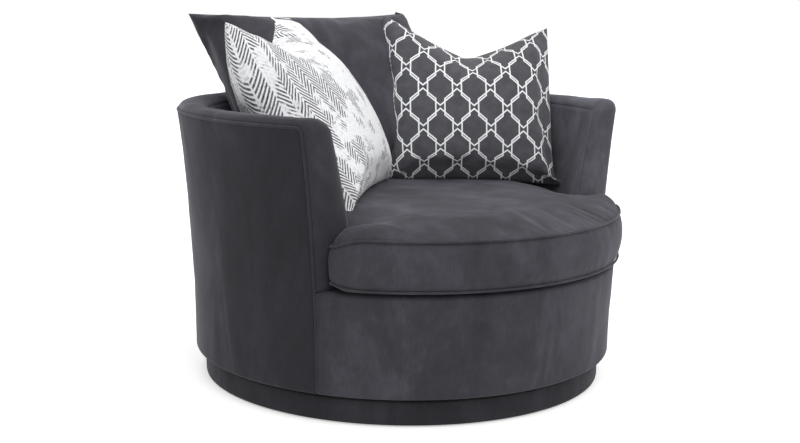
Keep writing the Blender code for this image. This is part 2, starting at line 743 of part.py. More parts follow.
def build_springs():
    """Zigzag springs from the front of the seat hoop to its back."""
    z = SPRING_TOP - SPRING_WIRE / 2
    reach = DECK_RADIUS - 2 * SPRING_WIRE
    for number in range(SPRING_COUNT):
        middle = (number - (SPRING_COUNT - 1) / 2) * SPRING_SPACING
        end = math.sqrt(reach ** 2 - (abs(middle) + SPRING_SWING) ** 2)
        bars = max(2, round(2 * end / SPRING_PITCH))
        points = []
        for bar, y in enumerate(spread(-end, end, bars + 1)):
            swing = SPRING_SWING if bar % 2 else -SPRING_SWING
            points.append((middle - swing, y, z))
            points.append((middle + swing, y, z))
        tube("spring_%d" % (number + 1), points, SPRING_WIRE / 2, SPRING_STEEL, swivel_axis,
             resolution=0)


def seat_outline(back_radius, front_radius, ear, step_y, corner):
    """The plan of the seat: round at the back, wider in front of the arms, round in front."""
    ear_angle = math.asin(ear / front_radius)
    points = []
    arc_end = ear_angle - corner / front_radius
    for number in range(math.ceil(arc_end / STEP - 0.3)):
        points.append(tuple(on_facet(front_radius, number * STEP)))
    points.append(tuple(on_facet(front_radius, arc_end)))
    ear_y = -front_radius * math.cos(ear_angle)
    points.append((ear, min(ear_y + corner, (ear_y + step_y) / 2)))
    points.append((ear, step_y - corner / 2))
    points.append((ear - corner / 2, step_y))
    start = angle_at_front(back_radius, -step_y)
    points.append(tuple(on_facet(back_radius, start)))
    first = math.ceil(start / STEP + 0.2)
    for number in range(first, STEPS // 2 + 1):
        points.append(tuple(on_facet(back_radius, number * STEP)))
    mirrored = [(-x, y) for x, y in reversed(points[1:-1])]
    return points + mirrored


def build_deck():
    """The pad and the cloth over the springs."""
    back = DECK_RADIUS - SEAT_GAP
    front = shell_radius(DECK_TOP) - APRON_LEDGE - SEAT_GAP
    ear = math.sqrt(front ** 2 - (2 * EAR_CORNER - SEAT_STEP) ** 2)
    outline = seat_outline(back, front, ear, SEAT_STEP, EAR_CORNER)
    flat("deck_pad", outline, DECK_PAD_TOP - DECK_PAD, DECK_PAD_TOP, FOAM, swivel_axis)
    flat("deck_cloth", outline, DECK_TOP - DECK_CLOTH, DECK_TOP, LINING, swivel_axis)


def build_walls():
    """The layers of the barrel, from the outside in, and the apron in front."""
    hem = COVER / 2
    foot = shell_radius(BODY_BOTTOM)
    low_edge = [
        (foot - hem, BODY_BOTTOM + EDGE_ROUNDING),
        (foot - EDGE_ROUNDING, BODY_BOTTOM),
        (foot - EDGE_ROUNDING - COVER, BODY_BOTTOM),
        (foot - EDGE_ROUNDING - COVER, BODY_BOTTOM + hem),
        (foot - COVER - hem, BODY_BOTTOM + EDGE_ROUNDING + hem),
    ]
    wall_foot = BODY_BOTTOM + 2.5 * EDGE_ROUNDING
    heights = heights_between(RIM_SEAM - BAND_LIFT, wall_foot, SHELL_ROWS)
    outside = wall_profile(shell_radius, heights, 0.0, COVER)
    outside[len(heights):len(heights)] = low_edge
    cover = turned("outside_cover", outside, VELVET, swivel_axis, closed=True)
    cut(cover, arm_cutter("outside_front", BAND_LIFT))

    inset = COVER + SEAT_GAP
    liner_heights = heights_between(FRAME_TOP, FRAME_FOOT, SHELL_ROWS)
    liner = turned("barrel_liner", wall_profile(shell_radius, liner_heights, -inset, LINER),
                   FIBREBOARD, swivel_axis, closed=True)
    cut(liner, arm_cutter("liner_front", RIM_PAD_DEPTH + SEAT_GAP))

    low = SEAT_HOOP_TOP + SEAT_GAP
    pad_heights = heights_between(FRAME_TOP, low, INNER_ROWS)
    pad = turned("inside_foam",
                 wall_profile(inner_radius, pad_heights, inset + INSIDE_PAD, INSIDE_PAD),
                 FOAM, swivel_axis, closed=True)
    cut(pad, front_cutter("inside_foam_front", ARM_BOARD_BACK + SEAT_GAP))

    inside_heights = heights_between(RIM_SEAM - RIM_ROLL - SEAT_GAP, low, INNER_ROWS)
    inside = turned("inside_cover", wall_profile(inner_radius, inside_heights, COVER, COVER),
                    VELVET, swivel_axis, closed=True)
    cut(inside, arm_cutter("inside_front", RIM_ROLL + SEAT_GAP))

    deck_edge = shell_radius(DECK_TOP)
    ledge = deck_edge - APRON_LEDGE
    heights = heights_between(DECK_TOP - APRON_ROUNDING, wall_foot, SHELL_ROWS)
    apron_profile = [
        (ledge, DECK_TOP),
        (deck_edge - APRON_ROUNDING, DECK_TOP),
        (deck_edge - APRON_ROUNDING * 0.3, DECK_TOP - APRON_ROUNDING * 0.3),
    ]
    apron_profile += [(shell_radius(z), z) for z in heights] + low_edge
    apron_profile += [(shell_radius(z) - COVER, z) for z in reversed(heights)]
    apron_profile += [
        (deck_edge - APRON_ROUNDING, DECK_TOP - COVER),
        (ledge, DECK_TOP - COVER),
    ]
    apron = turned("front_apron", apron_profile, VELVET, swivel_axis, closed=True)
    cut(apron, rear_cutter("apron_rear", -(ARM_REACH + BAND_LIFT)))


def seam_stations():
    """The right half of the seam, from the foot of the arm front to the middle of the back.

    Each station is the seam point, the inner edge of the band, and the way the band faces.
    """
    inset = WELT_RADIUS - WELT_PROUD
    heights = heights_between(RIM_SEAM - RIM_CORNER, DECK_TOP + SEAT_GAP,
                              SHELL_ROWS + INNER_ROWS[:-1])
    places = [(ARM_REACH, z, 0.0) for z in heights[:0:-1]]
    for degrees in CORNER_TILTS:
        tilt = math.radians(degrees)
        places.append((ARM_REACH - RIM_CORNER * (1 - math.cos(tilt)),
                       RIM_SEAM - RIM_CORNER * (1 - math.sin(tilt)), tilt))
    stations = []
    for reach, z, tilt in places:
        outer_radius = shell_radius(z) - inset
        outer = on_facet(outer_radius, angle_at_front(outer_radius, reach))
        inner = on_facet(inner_radius(z), angle_at_front(inner_radius(z), reach))
        facing = (0.0, -math.cos(tilt), math.sin(tilt))
        stations.append(((*outer, z), (*inner, z), facing))
    outer_radius = RIM_RADIUS - inset
    inner_rim = inner_radius(RIM_SEAM)
    first = angle_at_front(outer_radius, ARM_REACH - RIM_CORNER)
    for number in range(math.ceil(first / STEP + 0.1), STEPS // 2 + 1):
        outer = on_facet(outer_radius, number * STEP)
        inner = on_facet(inner_rim, number * STEP)
        stations.append(((*outer, RIM_SEAM), (*inner, RIM_SEAM), (0.0, 0.0, 1.0)))
    return stations


def both_sides(rings):
    """Carry the right half on round the left side."""
    left = [[(-x, y, z) for x, y, z in ring] for ring in reversed(rings[:-1])]
    return rings + left


def band_rings(top, bottom):
    """Rings between two offsets from the seam, each a list of (share across, offset)."""
    rings = []
    for outer, inner, facing in seam_stations():
        outer = Vector(outer)
        across = Vector(inner) - outer
        facing = Vector(facing)
        ring = [outer + across * share + facing * lift for share, lift in top + bottom[::-1]]
        rings.append([tuple(point) for point in ring])
    return both_sides(rings)


def build_band():
    """The strip over the rim and down both arm fronts, its foam, and the welt beside it."""
    swell = [
        (0.00, BAND_LIFT),
        (0.06, BAND_LIFT + 0.55 * RIM_CROWN),
        (0.30, BAND_LIFT + 0.95 * RIM_CROWN),
        (0.65, BAND_LIFT + RIM_CROWN),
        (0.92, BAND_LIFT + 0.60 * RIM_CROWN),
        (1.00, -RIM_ROLL),
    ]
    under = [
        (0.05, BAND_LIFT),
        (0.10, BAND_LIFT + 0.40 * RIM_CROWN - COVER / 2),
        (0.31, BAND_LIFT + 0.95 * RIM_CROWN - COVER),
        (0.64, BAND_LIFT + RIM_CROWN - COVER),
        (0.88, BAND_LIFT + 0.50 * RIM_CROWN - COVER / 2),
        (0.95, -RIM_ROLL),
    ]
    loft("rim_band", band_rings(swell, under), VELVET, swivel_axis)
    foam_top = [(0.12, BAND_LIFT - SEAT_GAP)]
    foam_top += [(share, lift - 2 * SEAT_GAP) for share, lift in under[2:4]]
    foam_top += [(0.87, BAND_LIFT - SEAT_GAP)]
    foam_low = [(min(share, 0.80), -RIM_PAD_DEPTH) for share, lift in foam_top]
    loft("rim_foam", band_rings(foam_top, foam_low), FOAM, swivel_axis)

    seam = [Vector(outer) for outer, inner, facing in seam_stations()]
    inset = WELT_RADIUS - WELT_PROUD
    lower = []
    for z in heights_between(DECK_TOP, BODY_BOTTOM + EDGE_ROUNDING, SHELL_ROWS)[:0:-1]:
        radius = shell_radius(z) - inset
        lower.append(Vector((*on_facet(radius, angle_at_front(radius, ARM_REACH)), z)))
    right = [tuple(point) for point in lower + seam]
    left = [(-x, y, z) for x, y, z in reversed(right[:-1])]
    tube("rim_welt", right + left, WELT_RADIUS, VELVET, swivel_axis)


def inset_outline(outline, distance):
    """Draw an outline in by a distance, square to its edges."""
    result = []
    count = len(outline)
    for i, point in enumerate(outline):
        here = Vector(point)
        before = here - Vector(outline[i - 1])
        after = Vector(outline[(i + 1) % count]) - here
        way = before.normalized() + after.normalized()
        way.normalize()
        inward = Vector((-way.y, way.x))
        spread_out = max(way.dot(after.normalized()), 0.5)
        result.append(tuple(here + inward * (distance / spread_out)))
    return result


def scaled_outline(outline, share, centre):
    """Shrink an outline towards a point."""
    middle = Vector(centre)
    return [tuple(middle + (Vector(point) - middle) * share) for point in outline]


def build_seat_cushion():
    """The boxed cushion with round front and ears, and its two welts."""
    back = DECK_RADIUS - CUSHION_BACK_CLEARANCE
    outline = seat_outline(back, CUSHION_FRONT_RADIUS, CUSHION_EAR, SEAT_STEP, EAR_CORNER)
    centre = (0.0, SEAT_STEP)
    low = CUSHION_LOW_WELT
    high = CUSHION_TOP_WELT
    groove = 2 * CUSHION_WELT + SEAT_GAP
    beside = BOXING * 0.075
    edge = inset_outline(outline, groove)
    rows = [
        (scaled_outline(edge, 0.45, centre), low - CUSHION_SAG),
        (scaled_outline(edge, 0.88, centre), low - CUSHION_SAG * 0.85),
        (inset_outline(outline, 4.5 * CUSHION_WELT), low - CUSHION_SAG * 0.6),
        (edge, low),
        (inset_outline(outline, CUSHION_WELT), low + beside),
        (inset_outline(outline, -CUSHION_BULGE), (low + high) / 2),
        (inset_outline(outline, CUSHION_WELT), high - beside),
        (edge, high),
        (inset_outline(outline, 4.5 * CUSHION_WELT), high + beside),
        (scaled_outline(edge, 0.88, centre), high + CUSHION_CROWN * 0.50),
        (scaled_outline(edge, 0.68, centre), high + CUSHION_CROWN * 0.80),
        (scaled_outline(edge, 0.40, centre), high + CUSHION_CROWN),
    ]
    rings = [[(x, y, z) for x, y in ring] for ring, z in rows]
    cushion = loft("seat_cushion", rings, VELVET, seat_lift)
    path = inset_outline(outline, CUSHION_WELT)
    for name, z in (("seat_welt_lower", low), ("seat_welt_upper", high)):
        tube(name, [(x, y, z) for x, y in path], CUSHION_WELT, VELVET, seat_lift,
             closed=True, resolution=0)
    return cushion


def pillow_mesh(name, width, height, thickness, chop, bend, cells):
    """A knife-edge pillow lying in XY, with drawn-in edges and its front towards +Z.

    Its thickness falls off towards the edges, and a chop sinks the middle of its top edge.
    """
    bm = bmesh.new()
    for side in (1, -1):
        grid = bmesh.ops.create_grid(bm, x_segments=cells, y_segments=cells, size=1.0)
        for vert in grid["verts"]:
            u = math.sin(vert.co.x * math.pi / 2)
            v = math.sin(vert.co.y * math.pi / 2)
            fall = (1 - abs(u) ** FALL_POWER) * (1 - abs(v) ** FALL_POWER)
            full = max(0.0, fall) ** FULLNESS
            dent = math.exp(-(u / CHOP_REACH) ** 2) * max(0.0, (v + CHOP_DEEP) / (1 + CHOP_DEEP)) ** 2
            full *= 1 - CHOP_THINNING * chop * dent
            x = width / 2 * u * (1 - DRAWN_IN * (1 - v * v) * u * u)
            y = height / 2 * v * (1 - DRAWN_IN * (1 - u * u) * v * v) - chop * dent
            z = side * thickness / 2 * full + bend * u * u
            vert.co = Vector((x, y, z))
    bmesh.ops.remove_doubles(bm, verts=bm.verts, dist=WELD)
    for corner in [vert for vert in bm.verts if len(vert.link_edges) == 2]:
        for face in list(corner.link_faces):
            beside = [edge.other_vert(corner) for edge in corner.link_edges]
            inner = [vert for vert in face.verts if vert != corner and vert not in beside][0]
            bmesh.utils.face_split(face, corner, inner)
    bmesh.ops.triangulate(bm, faces=bm.faces)
    return mesh_from(bm, name)


def standing(place, low, turn, lean, height):
    """The matrix that stands a pillow on its lower edge, turned and leaning back."""
    turn = math.radians(turn)
    lean = math.radians(lean)
    flat_front = Vector((math.sin(turn), -math.cos(turn), 0.0))
    across = Vector((math.cos(turn), math.sin(turn), 0.0))
    up = flat_front * -math.sin(lean) + Vector((0.0, 0.0, math.cos(lean)))
    front = flat_front * math.cos(lean) + Vector((0.0, 0.0, math.sin(lean)))
    centre = Vector((*place, low)) + up * height / 2
    matrix = Matrix((across, up, front)).transposed().to_4x4()
    matrix.translation = centre
    return matrix


def build_pillow(name, mesh, matrix, material, parent, neighbours):
    """Stand a pillow in its place, flattened where it rests on its neighbours."""
    mesh.transform(matrix)
    pillow = add_object(name, mesh, material, parent)
    for cutter in neighbours:
        cut(pillow, cutter)
    return pillow


def build_soft():
    """The cushions and pillows that lie loose on the chair."""
    seat_cutter = grown_cutter("grown_seat", build_seat_cushion())
    back_mesh = pillow_mesh("back_cushion", BACK_WIDTH, BACK_HEIGHT, BACK_THICKNESS, 0.0,
                            BACK_BEND, 14)
    back_stand = standing(BACK_PLACE, SEAT_TOP - BACK_DROP, 0.0, BACK_LEAN, BACK_HEIGHT)
    back = build_pillow("back_cushion", back_mesh, back_stand, VELVET, back_lift, (seat_cutter,))
    back_cutter = grown_cutter("grown_back", back)
    low = SEAT_TOP - PILLOW_DROP
    for name, side, place, turn, lean, material, lift in (
        ("trellis_pillow", DARK_SIDE, DARK_PLACE, DARK_TURN, DARK_LEAN, TRELLIS, dark_lift),
        ("herringbone_pillow", WHITE_SIDE, WHITE_PLACE, WHITE_TURN, WHITE_LEAN, WHITE_CLOTH,
         white_lift),
    ):
        mesh = pillow_mesh(name, side, side, PILLOW_THICKNESS, PILLOW_CHOP, 0.0, 12)
        build_pillow(name, mesh, standing(place, low, turn, lean, side), material, lift,
                     (seat_cutter, back_cutter))


build_plinth()
build_swivel()
build_ball_cage()
build_bottom()
build_frame()
build_springs()
build_deck()
build_walls()
build_band()
build_soft()
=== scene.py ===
"""The looks of the swivel lounge chair: fine velvet covers, soft cushions and patterned pillows."""

import json
import math

import bpy
import bmesh
import numpy as np
from mathutils import Matrix, Vector, noise
from mathutils.bvhtree import BVHTree
from mathutils.geometry import delaunay_2d_cdt


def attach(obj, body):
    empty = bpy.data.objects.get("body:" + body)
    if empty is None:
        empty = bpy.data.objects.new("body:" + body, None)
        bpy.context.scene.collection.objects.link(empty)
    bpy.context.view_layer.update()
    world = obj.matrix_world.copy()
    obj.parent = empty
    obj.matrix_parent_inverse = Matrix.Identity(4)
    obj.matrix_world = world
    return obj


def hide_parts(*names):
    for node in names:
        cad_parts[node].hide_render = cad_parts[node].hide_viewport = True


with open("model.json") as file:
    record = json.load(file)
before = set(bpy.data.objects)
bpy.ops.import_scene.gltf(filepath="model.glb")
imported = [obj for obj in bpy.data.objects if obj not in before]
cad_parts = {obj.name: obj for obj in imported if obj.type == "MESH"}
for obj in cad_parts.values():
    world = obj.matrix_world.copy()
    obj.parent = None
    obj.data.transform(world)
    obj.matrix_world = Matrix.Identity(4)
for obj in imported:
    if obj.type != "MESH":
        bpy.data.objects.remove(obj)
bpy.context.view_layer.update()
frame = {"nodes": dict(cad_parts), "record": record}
nodes = frame["nodes"]

# Sizes of the chair, in metres
GAP = 0.0003             # between pieces that touch
PLINTH_HEIGHT = 0.060
GLIDE_HEIGHT = 0.006
BODY_BOTTOM = 0.070
RIM_SEAM = 0.685
DECK_TOP = 0.314
RIM_RADIUS = 0.580
FLARE = 0.035
FLARE_POWER = 1.6
FOOT_RADIUS = RIM_RADIUS - FLARE
PLINTH_SETBACK = 0.025
PLINTH_RADIUS = FOOT_RADIUS - PLINTH_SETBACK
PLINTH_TURN_IN = 0.035
PLINTH_ROUNDING = 0.004
EDGE_ROUNDING = 0.008
APRON_ROUNDING = 0.012
APRON_LEDGE = 0.050
ARM_REACH = 0.262        # how far the arm fronts stand in front of the swivel axis
RIM_WIDTH = 0.065
INNER_RIM = RIM_RADIUS - RIM_WIDTH
RIM_SWELL = 0.007        # how far the padding pushes the outside cover out at the rim
INNER_POWER = 1.5
RIM_CORNER = 0.013       # rounding where the arm front meets the rim
RIM_CROWN = 0.015        # how far the band swells between its edges, on the rim
ARM_CROWN = 0.012        # and on the arm fronts
RIM_ROLL = 0.003         # how far the band rolls over the inner edge, below the seam
WELT_RADIUS = 0.0035
WELT_PROUD = 0.0015
WELT_INSET = WELT_RADIUS - WELT_PROUD
BAND_LIFT = WELT_RADIUS + GAP

CUSHION_BULGE = 0.004
EAR_CLEARANCE = 0.001    # from the arm fronts to the ears of the seat
SEAT_STEP = -(ARM_REACH + BAND_LIFT + ARM_CROWN + CUSHION_BULGE + EAR_CLEARANCE)
EAR_DEPTH = 0.041
CUSHION_SAG = 0.0105     # how far the underside swells down below the lower welt
LOW_WELT = DECK_TOP + GAP + CUSHION_SAG
BOXING = 0.114           # from welt to welt
TOP_WELT = LOW_WELT + BOXING
CUSHION_CROWN = 0.038
CUSHION_WELT = 0.003
SEAT_TOP = TOP_WELT + CUSHION_CROWN
CUSHION_OVERHANG = 0.012
BARREL_WALL = 0.098      # the thickness of the padded wall at the deck
BACK_CLEARANCE = 0.005   # from the wall to the seat cushion


def shell_radius(z):
    """Outside of the body at a height."""
    share = min(max((z - BODY_BOTTOM) / (RIM_SEAM - BODY_BOTTOM), 0.0), 1.0)
    return FOOT_RADIUS + FLARE * share ** FLARE_POWER + RIM_SWELL * share ** 4


DECK_SHARE = (DECK_TOP - BODY_BOTTOM) / (RIM_SEAM - BODY_BOTTOM)
DECK_SHELL = FOOT_RADIUS + FLARE * DECK_SHARE ** FLARE_POWER
DECK_RADIUS = DECK_SHELL - BARREL_WALL
CUSHION_FRONT = DECK_SHELL + CUSHION_OVERHANG
CUSHION_BACK = DECK_RADIUS - BACK_CLEARANCE
CUSHION_EAR = math.sqrt(CUSHION_FRONT ** 2 - (EAR_DEPTH - SEAT_STEP) ** 2)
STEP_CORNER = math.sqrt(CUSHION_BACK ** 2 - SEAT_STEP ** 2)


def inner_radius(z):
    """Inside of the barrel at a height."""
    share = min(max((z - DECK_TOP) / (RIM_SEAM - DECK_TOP), 0.0), 1.0)
    return DECK_RADIUS + (INNER_RIM - DECK_RADIUS) * share ** INNER_POWER


def plan(radius, angle, z=0.0):
    """A point on a circle round the swivel axis. The angle grows from the front towards +X."""
    return Vector((radius * math.sin(angle), -radius * math.cos(angle), z))


# Finishes

VELVET_COLOURS = ((0.0155, 0.0148, 0.0185), (0.0265, 0.0255, 0.0310), (0.0450, 0.0440, 0.0525),
                  (0.075, 0.074, 0.086))    # three along the nap, and the tips of the pile
ARM_SLANT = 0.117        # how far the middle of an arm moves out over a metre of height
TRELLIS_WIDE = 0.0865
TRELLIS_HIGH = 0.1100
TRELLIS_START = (0.008, 0.021)
TRELLIS_LINE = 0.00185   # half the width of a line
TRELLIS_BLUR = 0.00030
CHEVRON_BAND = 0.030     # the width of a row of strokes
CHEVRON_SLOPE = 1.15
CHEVRON_PITCH = 0.0124   # from stroke to stroke


class Nodes:
    """A short way to write the nodes of a material or of the world."""

    def __init__(self, owner):
        owner.use_nodes = True
        self.owner = owner
        self.tree = owner.node_tree

    def look(self, inputs):
        """Set or link inputs of a material's shader, and give the material."""
        shader = self.tree.nodes["Principled BSDF"]
        for key, value in inputs.items():
            self.put(shader.inputs[key], value)
        return self.owner

    def add(self, kind, inputs=None, **settings):
        """Add a node. An input is a number, a colour, or another node's output."""
        node = self.tree.nodes.new("ShaderNode" + kind)
        for key, value in settings.items():
            setattr(node, key, value)
        for key, value in (inputs or {}).items():
            self.put(node.inputs[key], value)
        return node

    def put(self, socket, value):
        """Set or link one input."""
        if isinstance(value, bpy.types.NodeSocket):
            self.tree.links.new(value, socket)
        else:
            socket.default_value = value

    def math(self, operation, *values):
        """One sum."""
        node = self.add("Math", operation=operation)
        for socket, value in zip(node.inputs, values):
            self.put(socket, value)
        return node.outputs[0]

    def smooth(self, value, low, high):
        """0 below low, 1 above high, and a soft step between."""
        node = self.add("MapRange", {0: value, 1: low, 2: high, 3: 0.0, 4: 1.0},
                        interpolation_type="SMOOTHSTEP")
        return node.outputs[0]

    def place(self, scale=(1.0, 1.0, 1.0), uv=None):
        """The point of the surface, from the object's own space or from a map."""
        if uv:
            source = self.add("UVMap", uv_map=uv).outputs[0]
        else:
            source = self.add("TexCoord").outputs["Object"]
        return self.add("Mapping", {"Vector": source, "Scale": scale}).outputs[0]

    def noise(self, place, scale, detail=2.0, roughness=0.5, distortion=0.0):
        """A soft random value, about 0.5."""
        node = self.add("TexNoise", {"Vector": place, "Scale": scale, "Detail": detail,
                                               "Roughness": roughness, "Distortion": distortion})
        return node.outputs["Fac"]

    def ramp(self, value, *stops):
        """Colours along a value."""
        node = self.add("ValToRGB", {"Fac": value})
        elements = node.color_ramp.elements
        for index, (position, colour) in enumerate(stops):
            element = elements[index] if index < 2 else elements.new(position)
            element.position = position
            element.color = (*colour, 1.0)
        return node.outputs["Color"]

    def mix(self, share, first, second):
        """Mix two colours."""
        node = self.add("Mix", data_type="RGBA")
        self.put(node.inputs[0], share)
        for number, colour in ((6, first), (7, second)):
            self.put(node.inputs[number], (*colour, 1.0) if isinstance(colour, tuple) else colour)
        return node.outputs[2]

    def bump(self, height, strength, distance, under=None):
        """Raise the surface by a height."""
        inputs = {"Height": height, "Strength": strength, "Distance": distance}
        if under is not None:
            inputs["Normal"] = under
        return self.add("Bump", inputs).outputs[0]

    def times(self, first, second):
        """A product."""
        return self.math("MULTIPLY", first, second)

    def minus(self, first, second):
        """A difference."""
        return self.math("SUBTRACT", first, second)

    def plus(self, base, value, share):
        """A base, and a share of a value."""
        return self.math("ADD", base, self.times(value, share))

    def blend(self, first, *others):
        """The sum of values, each with its share."""
        total = self.times(*first)
        for value, share in others:
            total = self.plus(total, value, share)
        return total

    def direct(self):
        """1 where a ray comes from the camera, a mirror or glass, and 0 where it carries light."""
        path = self.add("LightPath").outputs
        straight = self.math("MAXIMUM", path["Is Camera Ray"], path["Is Glossy Ray"])
        return self.math("MAXIMUM", straight, path["Is Transmission Ray"])


def material_nodes(name):
    """The nodes of a new material."""
    return Nodes(bpy.data.materials.new(name))


def velvet_colour(n, nap, pile, light):
    """The velvet's colour over its nap, with the paler tips of the pile."""
    low, middle, high, tips = [tuple(light * c for c in colour) for colour in VELVET_COLOURS]
    colour = n.ramp(nap, (0.36, low), (0.64, high), (0.50, middle))
    return n.mix(n.times(pile, 0.20), colour, tips)


def right_arm_painted_light(n):
    """1 on the right arm's inner half of the rim band and on its front, and 0 elsewhere: where light
    is painted.
    """
    x, y, z = n.add("SeparateXYZ", {"Vector": n.place()}).outputs
    across = n.add("CombineXYZ", {"X": x, "Y": y}).outputs[0]
    radius = n.add("VectorMath", {0: across}, operation="LENGTH").outputs["Value"]
    middle = n.plus((RIM_RADIUS + INNER_RIM) / 2 - ARM_SLANT * RIM_SEAM, z, ARM_SLANT)
    inner = n.smooth(n.minus(middle, radius), -0.020, 0.012)
    front = n.smooth(n.times(y, -1.0), ARM_REACH - 0.050, ARM_REACH - 0.006)
    return n.times(n.smooth(x, -0.10, 0.20), n.math("MAXIMUM", inner, front))


def velvet_finish(name, light, painted_arm_light=None, sheen=1.0):
    """Charcoal velvet: dark along the pile, with a pale sheen and brushed patches.

    The light multiplies its colour as painted light and shade, and the arm light does so on the
    right arm's inner half and front, painted lighter there.
    """
    n = material_nodes(name)
    place = n.place()
    brushed = n.noise(n.place((1.0, 1.0, 0.35)), 7.0, 4.0, 0.60, 0.8)
    patches = n.noise(place, 26.0, 3.0, 0.6, 0.3)
    thread = n.noise(n.place((1.0, 1.0, 0.18)), 230.0, 2.0, 0.6)
    nap = n.blend((brushed, 0.62), (patches, 0.26), (thread, 0.12))
    pile = n.noise(place, 900.0, 2.0, 0.7)
    colour = velvet_colour(n, nap, pile, light)
    # Painted light: the right arm's inner half and front get a lighter copy of the colour.
    if painted_arm_light:
        colour = n.mix(right_arm_painted_light(n), colour, velvet_colour(n, nap, pile, painted_arm_light))
    return n.look({
        "Base Color": colour, "Roughness": n.plus(0.78, patches, 0.2), "Specular IOR Level": 0.22,
        "Sheen Weight": n.plus(0.08 * sheen, brushed, 0.52 * sheen), "Sheen Roughness": 0.40,
        "Sheen Tint": (0.80, 0.81, 0.90, 1.0),
        "Normal": n.bump(pile, 0.30, 0.0006, n.bump(nap, 0.35, 0.004))})


def trellis_finish():
    """Charcoal cloth with a printed lattice of interlaced hexagons."""
    n = material_nodes("trellis_print")
    split = n.add("SeparateXYZ", {"Vector": n.place(uv="cloth")})
    folded = []
    for axis, pitch, start in zip("XY", (TRELLIS_WIDE, TRELLIS_HIGH), TRELLIS_START):
        turn = n.math("DIVIDE", n.minus(split.outputs[axis], start), pitch)
        near = n.math("ABSOLUTE", n.minus(turn, n.math("ROUND", turn)))
        folded.append(n.times(near, pitch))
    half = 0.367 * TRELLIS_WIDE
    top = 0.460 * TRELLIS_HIGH
    shoulder = 0.202 * TRELLIS_HIGH
    slope = math.hypot(top - shoulder, half)
    marks = []
    for x, y in (folded, [n.minus(TRELLIS_WIDE / 2, folded[0]),
                          n.minus(TRELLIS_HIGH / 2, folded[1])]):
        along = n.times(x, (top - shoulder) / slope)
        across = n.times(n.minus(y, top), half / slope)
        sloped = n.math("ABSOLUTE", n.math("ADD", along, across))
        upright = n.math("ABSOLUTE", n.minus(x, half))
        for away, past_end in ((sloped, n.minus(x, half)), (upright, n.minus(y, shoulder))):
            marks.append(n.smooth(n.math("MAXIMUM", away, past_end), TRELLIS_LINE + TRELLIS_BLUR,
                                  TRELLIS_LINE - TRELLIS_BLUR))
    mark = marks[0]
    for other in marks[1:]:
        mark = n.math("MAXIMUM", mark, other)
    place = n.place(uv="cloth")
    threads = [n.add("TexWave", {"Vector": place, "Scale": 260.0, "Distortion": 0.6},
                     bands_direction=axis).outputs["Fac"] for axis in "XY"]
    weave = n.times(*threads)
    uneven = n.noise(n.place(), 35.0, 4.0, 0.6)
    ground = n.ramp(uneven, (0.30, (0.0600, 0.0600, 0.0680)), (0.72, (0.1000, 0.1000, 0.1120)))
    ground = n.mix(n.times(weave, 0.25), ground, (0.130, 0.130, 0.144))
    worn = n.noise(place, 900.0, 2.0, 0.6)
    white = n.ramp(worn, (0.25, (0.86, 0.86, 0.87)), (0.60, (0.96, 0.96, 0.97)))
    return n.look({
        "Base Color": n.mix(mark, ground, white), "Roughness": n.plus(0.80, uneven, 0.15),
        "Specular IOR Level": 0.25, "Sheen Weight": 0.18, "Sheen Roughness": 0.5,
        "Normal": n.bump(n.blend((weave, 0.6), (mark, 0.8)), 0.35, 0.0006)})


